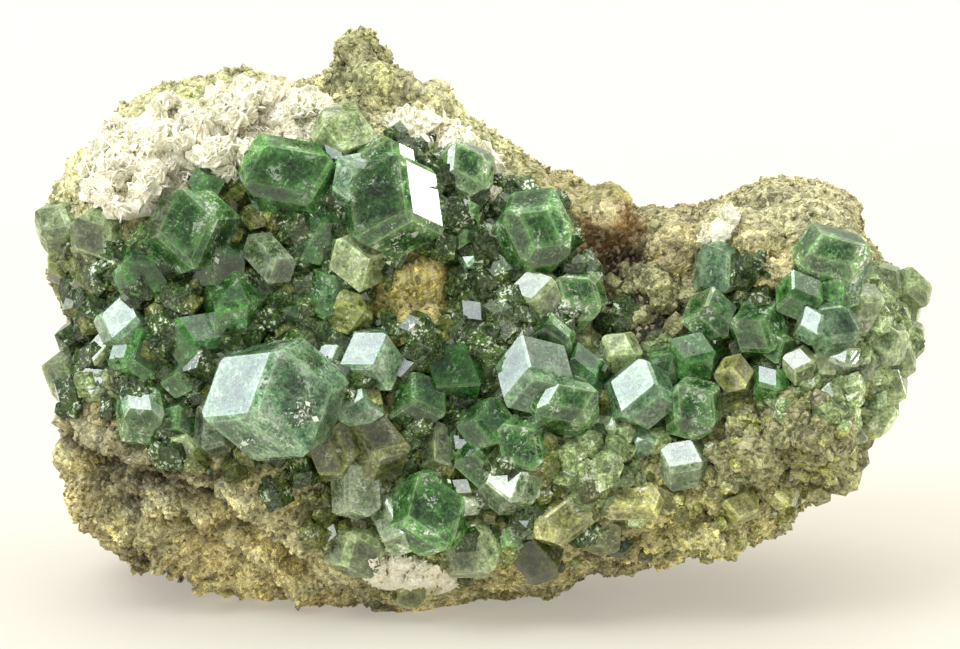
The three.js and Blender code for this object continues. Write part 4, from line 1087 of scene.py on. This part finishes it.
def calciteBed(name, part):
    # a closed ribbon along its line, rounded at both ends, with knobs and beads on its front; gives the
    # points of its front by row and column, and each one's random number
    line = np.array(part["line"])
    pieces = len(line) - 1
    run = np.linspace(0, pieces, chalkBed["along"] * pieces)
    spot = np.stack([np.interp(run, np.arange(len(line)), line[:, k]) for k in (0, 1)], -1)
    toEnds = 1 - (2 * run / run[-1] - 1) ** 8
    half = np.interp(run, np.arange(len(line)), part["wide"]) * np.sqrt(np.clip(toEnds, 0.02, 1))
    half = half * (1 + 0.22 * noise(np.c_[spot, 0 * run], 2.5, 3))
    way = unit(np.gradient(spot, axis=0))
    aside = np.stack([-way[:, 1], way[:, 0]], -1)[:, None]
    across = np.linspace(-1, 1, chalkBed["across"])
    flat = spot[:, None] + across[:, None] * half[:, None, None] * aside
    x, z = flat[..., 0], flat[..., 1]
    y = rockDepth(x, z)
    for _ in range(2):
        beside = y[:-2, 1:-1] + y[2:, 1:-1] + y[1:-1, :-2] + y[1:-1, 2:]
        y[1:-1, 1:-1] = (beside + 2 * y[1:-1, 1:-1]) / 6
    places = np.stack([x, 0 * x, z], -1).reshape(-1, 3)
    knobFar, own = cells(places + 0.6 * roughness(places, 2, 2, 23)[:, None], chalkBed["knob"], 21)
    beads = dome(cells(places, chalkBed["bead"], 22)[0], 1)
    knobs = (chalkBed["knobHigh"] + chalkBed["knobMore"] * own) * dome(knobFar, 0.72)
    swell = 0.02 + knobs + chalkBed["beadHigh"] * beads
    ends = np.sqrt(np.clip(1 - across**4, 0, 1)) * np.sqrt(np.clip(toEnds, 0, 1))[:, None]
    top = np.stack([x, y - part["thick"] * swell.reshape(x.shape) * ends + chalkBed["sunk"], z], -1)
    under = np.stack([x, y + chalkBed["root"], z], -1)
    both = np.concatenate([top.reshape(-1, 3), under.reshape(-1, 3)])

    # faces of the front, of the back and round the rim
    rows, cols = x.shape
    index = np.arange(rows * cols).reshape(rows, cols)
    cell = index[:-1, :-1].ravel()
    frontFaces = np.stack([cell, cell + 1, cell + cols + 1, cell + cols], -1)
    rim = np.r_[index[0], index[1:, -1], index[-1, -2::-1], index[-2:0:-1, 0]]
    after = np.roll(rim, -1)
    rimFaces = np.stack([rim, rim + rows * cols, after + rows * cols, after], -1)
    faces = np.concatenate([frontFaces, frontFaces[:, ::-1] + rows * cols, rimFaces])
    # painted shade: the bed is coloured darker in the gaps between its knobs
    raised = smoothStep(np.tile(swell, 2), 0.1, 0.6)[:, None]
    creamWithPaintedShade = chalkBed["low"] * (1 - raised) + chalkBed["high"] * raised
    creamWithPaintedShade = creamWithPaintedShade * rng.uniform(*chalkBed["light"], (len(both), 1))
    newPiece(name + "_bed", both, faces, chalk, (name,), creamWithPaintedShade, smooth=True)
    return top, own.reshape(x.shape)


def calciteBlades(name, part, top, own):
    # blades at random places of a bed's front, leaning out and up, longer on some knobs than on others
    (rows, cols), count = own.shape, part["blades"]
    pick = rng.integers(2, rows - 2, count), rng.integers(2, cols - 2, count)
    lean = unit(np.stack([rng.normal(middle, around, count) for middle, around in bladeWay["lean"]], -1))
    flatWay = unit(np.cross(lean, rng.normal(size=(count, 3))))
    turns = np.stack([np.cross(flatWay, lean), flatWay, lean], -1)
    longs = rng.uniform(*part["long"], count) * (0.5 + own[pick])
    scales = np.stack([longs * rng.uniform(*bladeWay["wide"], count), longs, longs], -1)
    shades = chalkBed["high"] * rng.uniform(*bladeWay["light"], (count, 1))
    foot = top[pick] + (0, bladeWay["foot"], 0)
    strewn(name + "_blades", bladeForm, foot, scales, turns, chalk, (name,), shades)


for name, part in calcite.items():
    calciteBlades(name, part, *calciteBed(name, part))
print("calcite beds and blades")
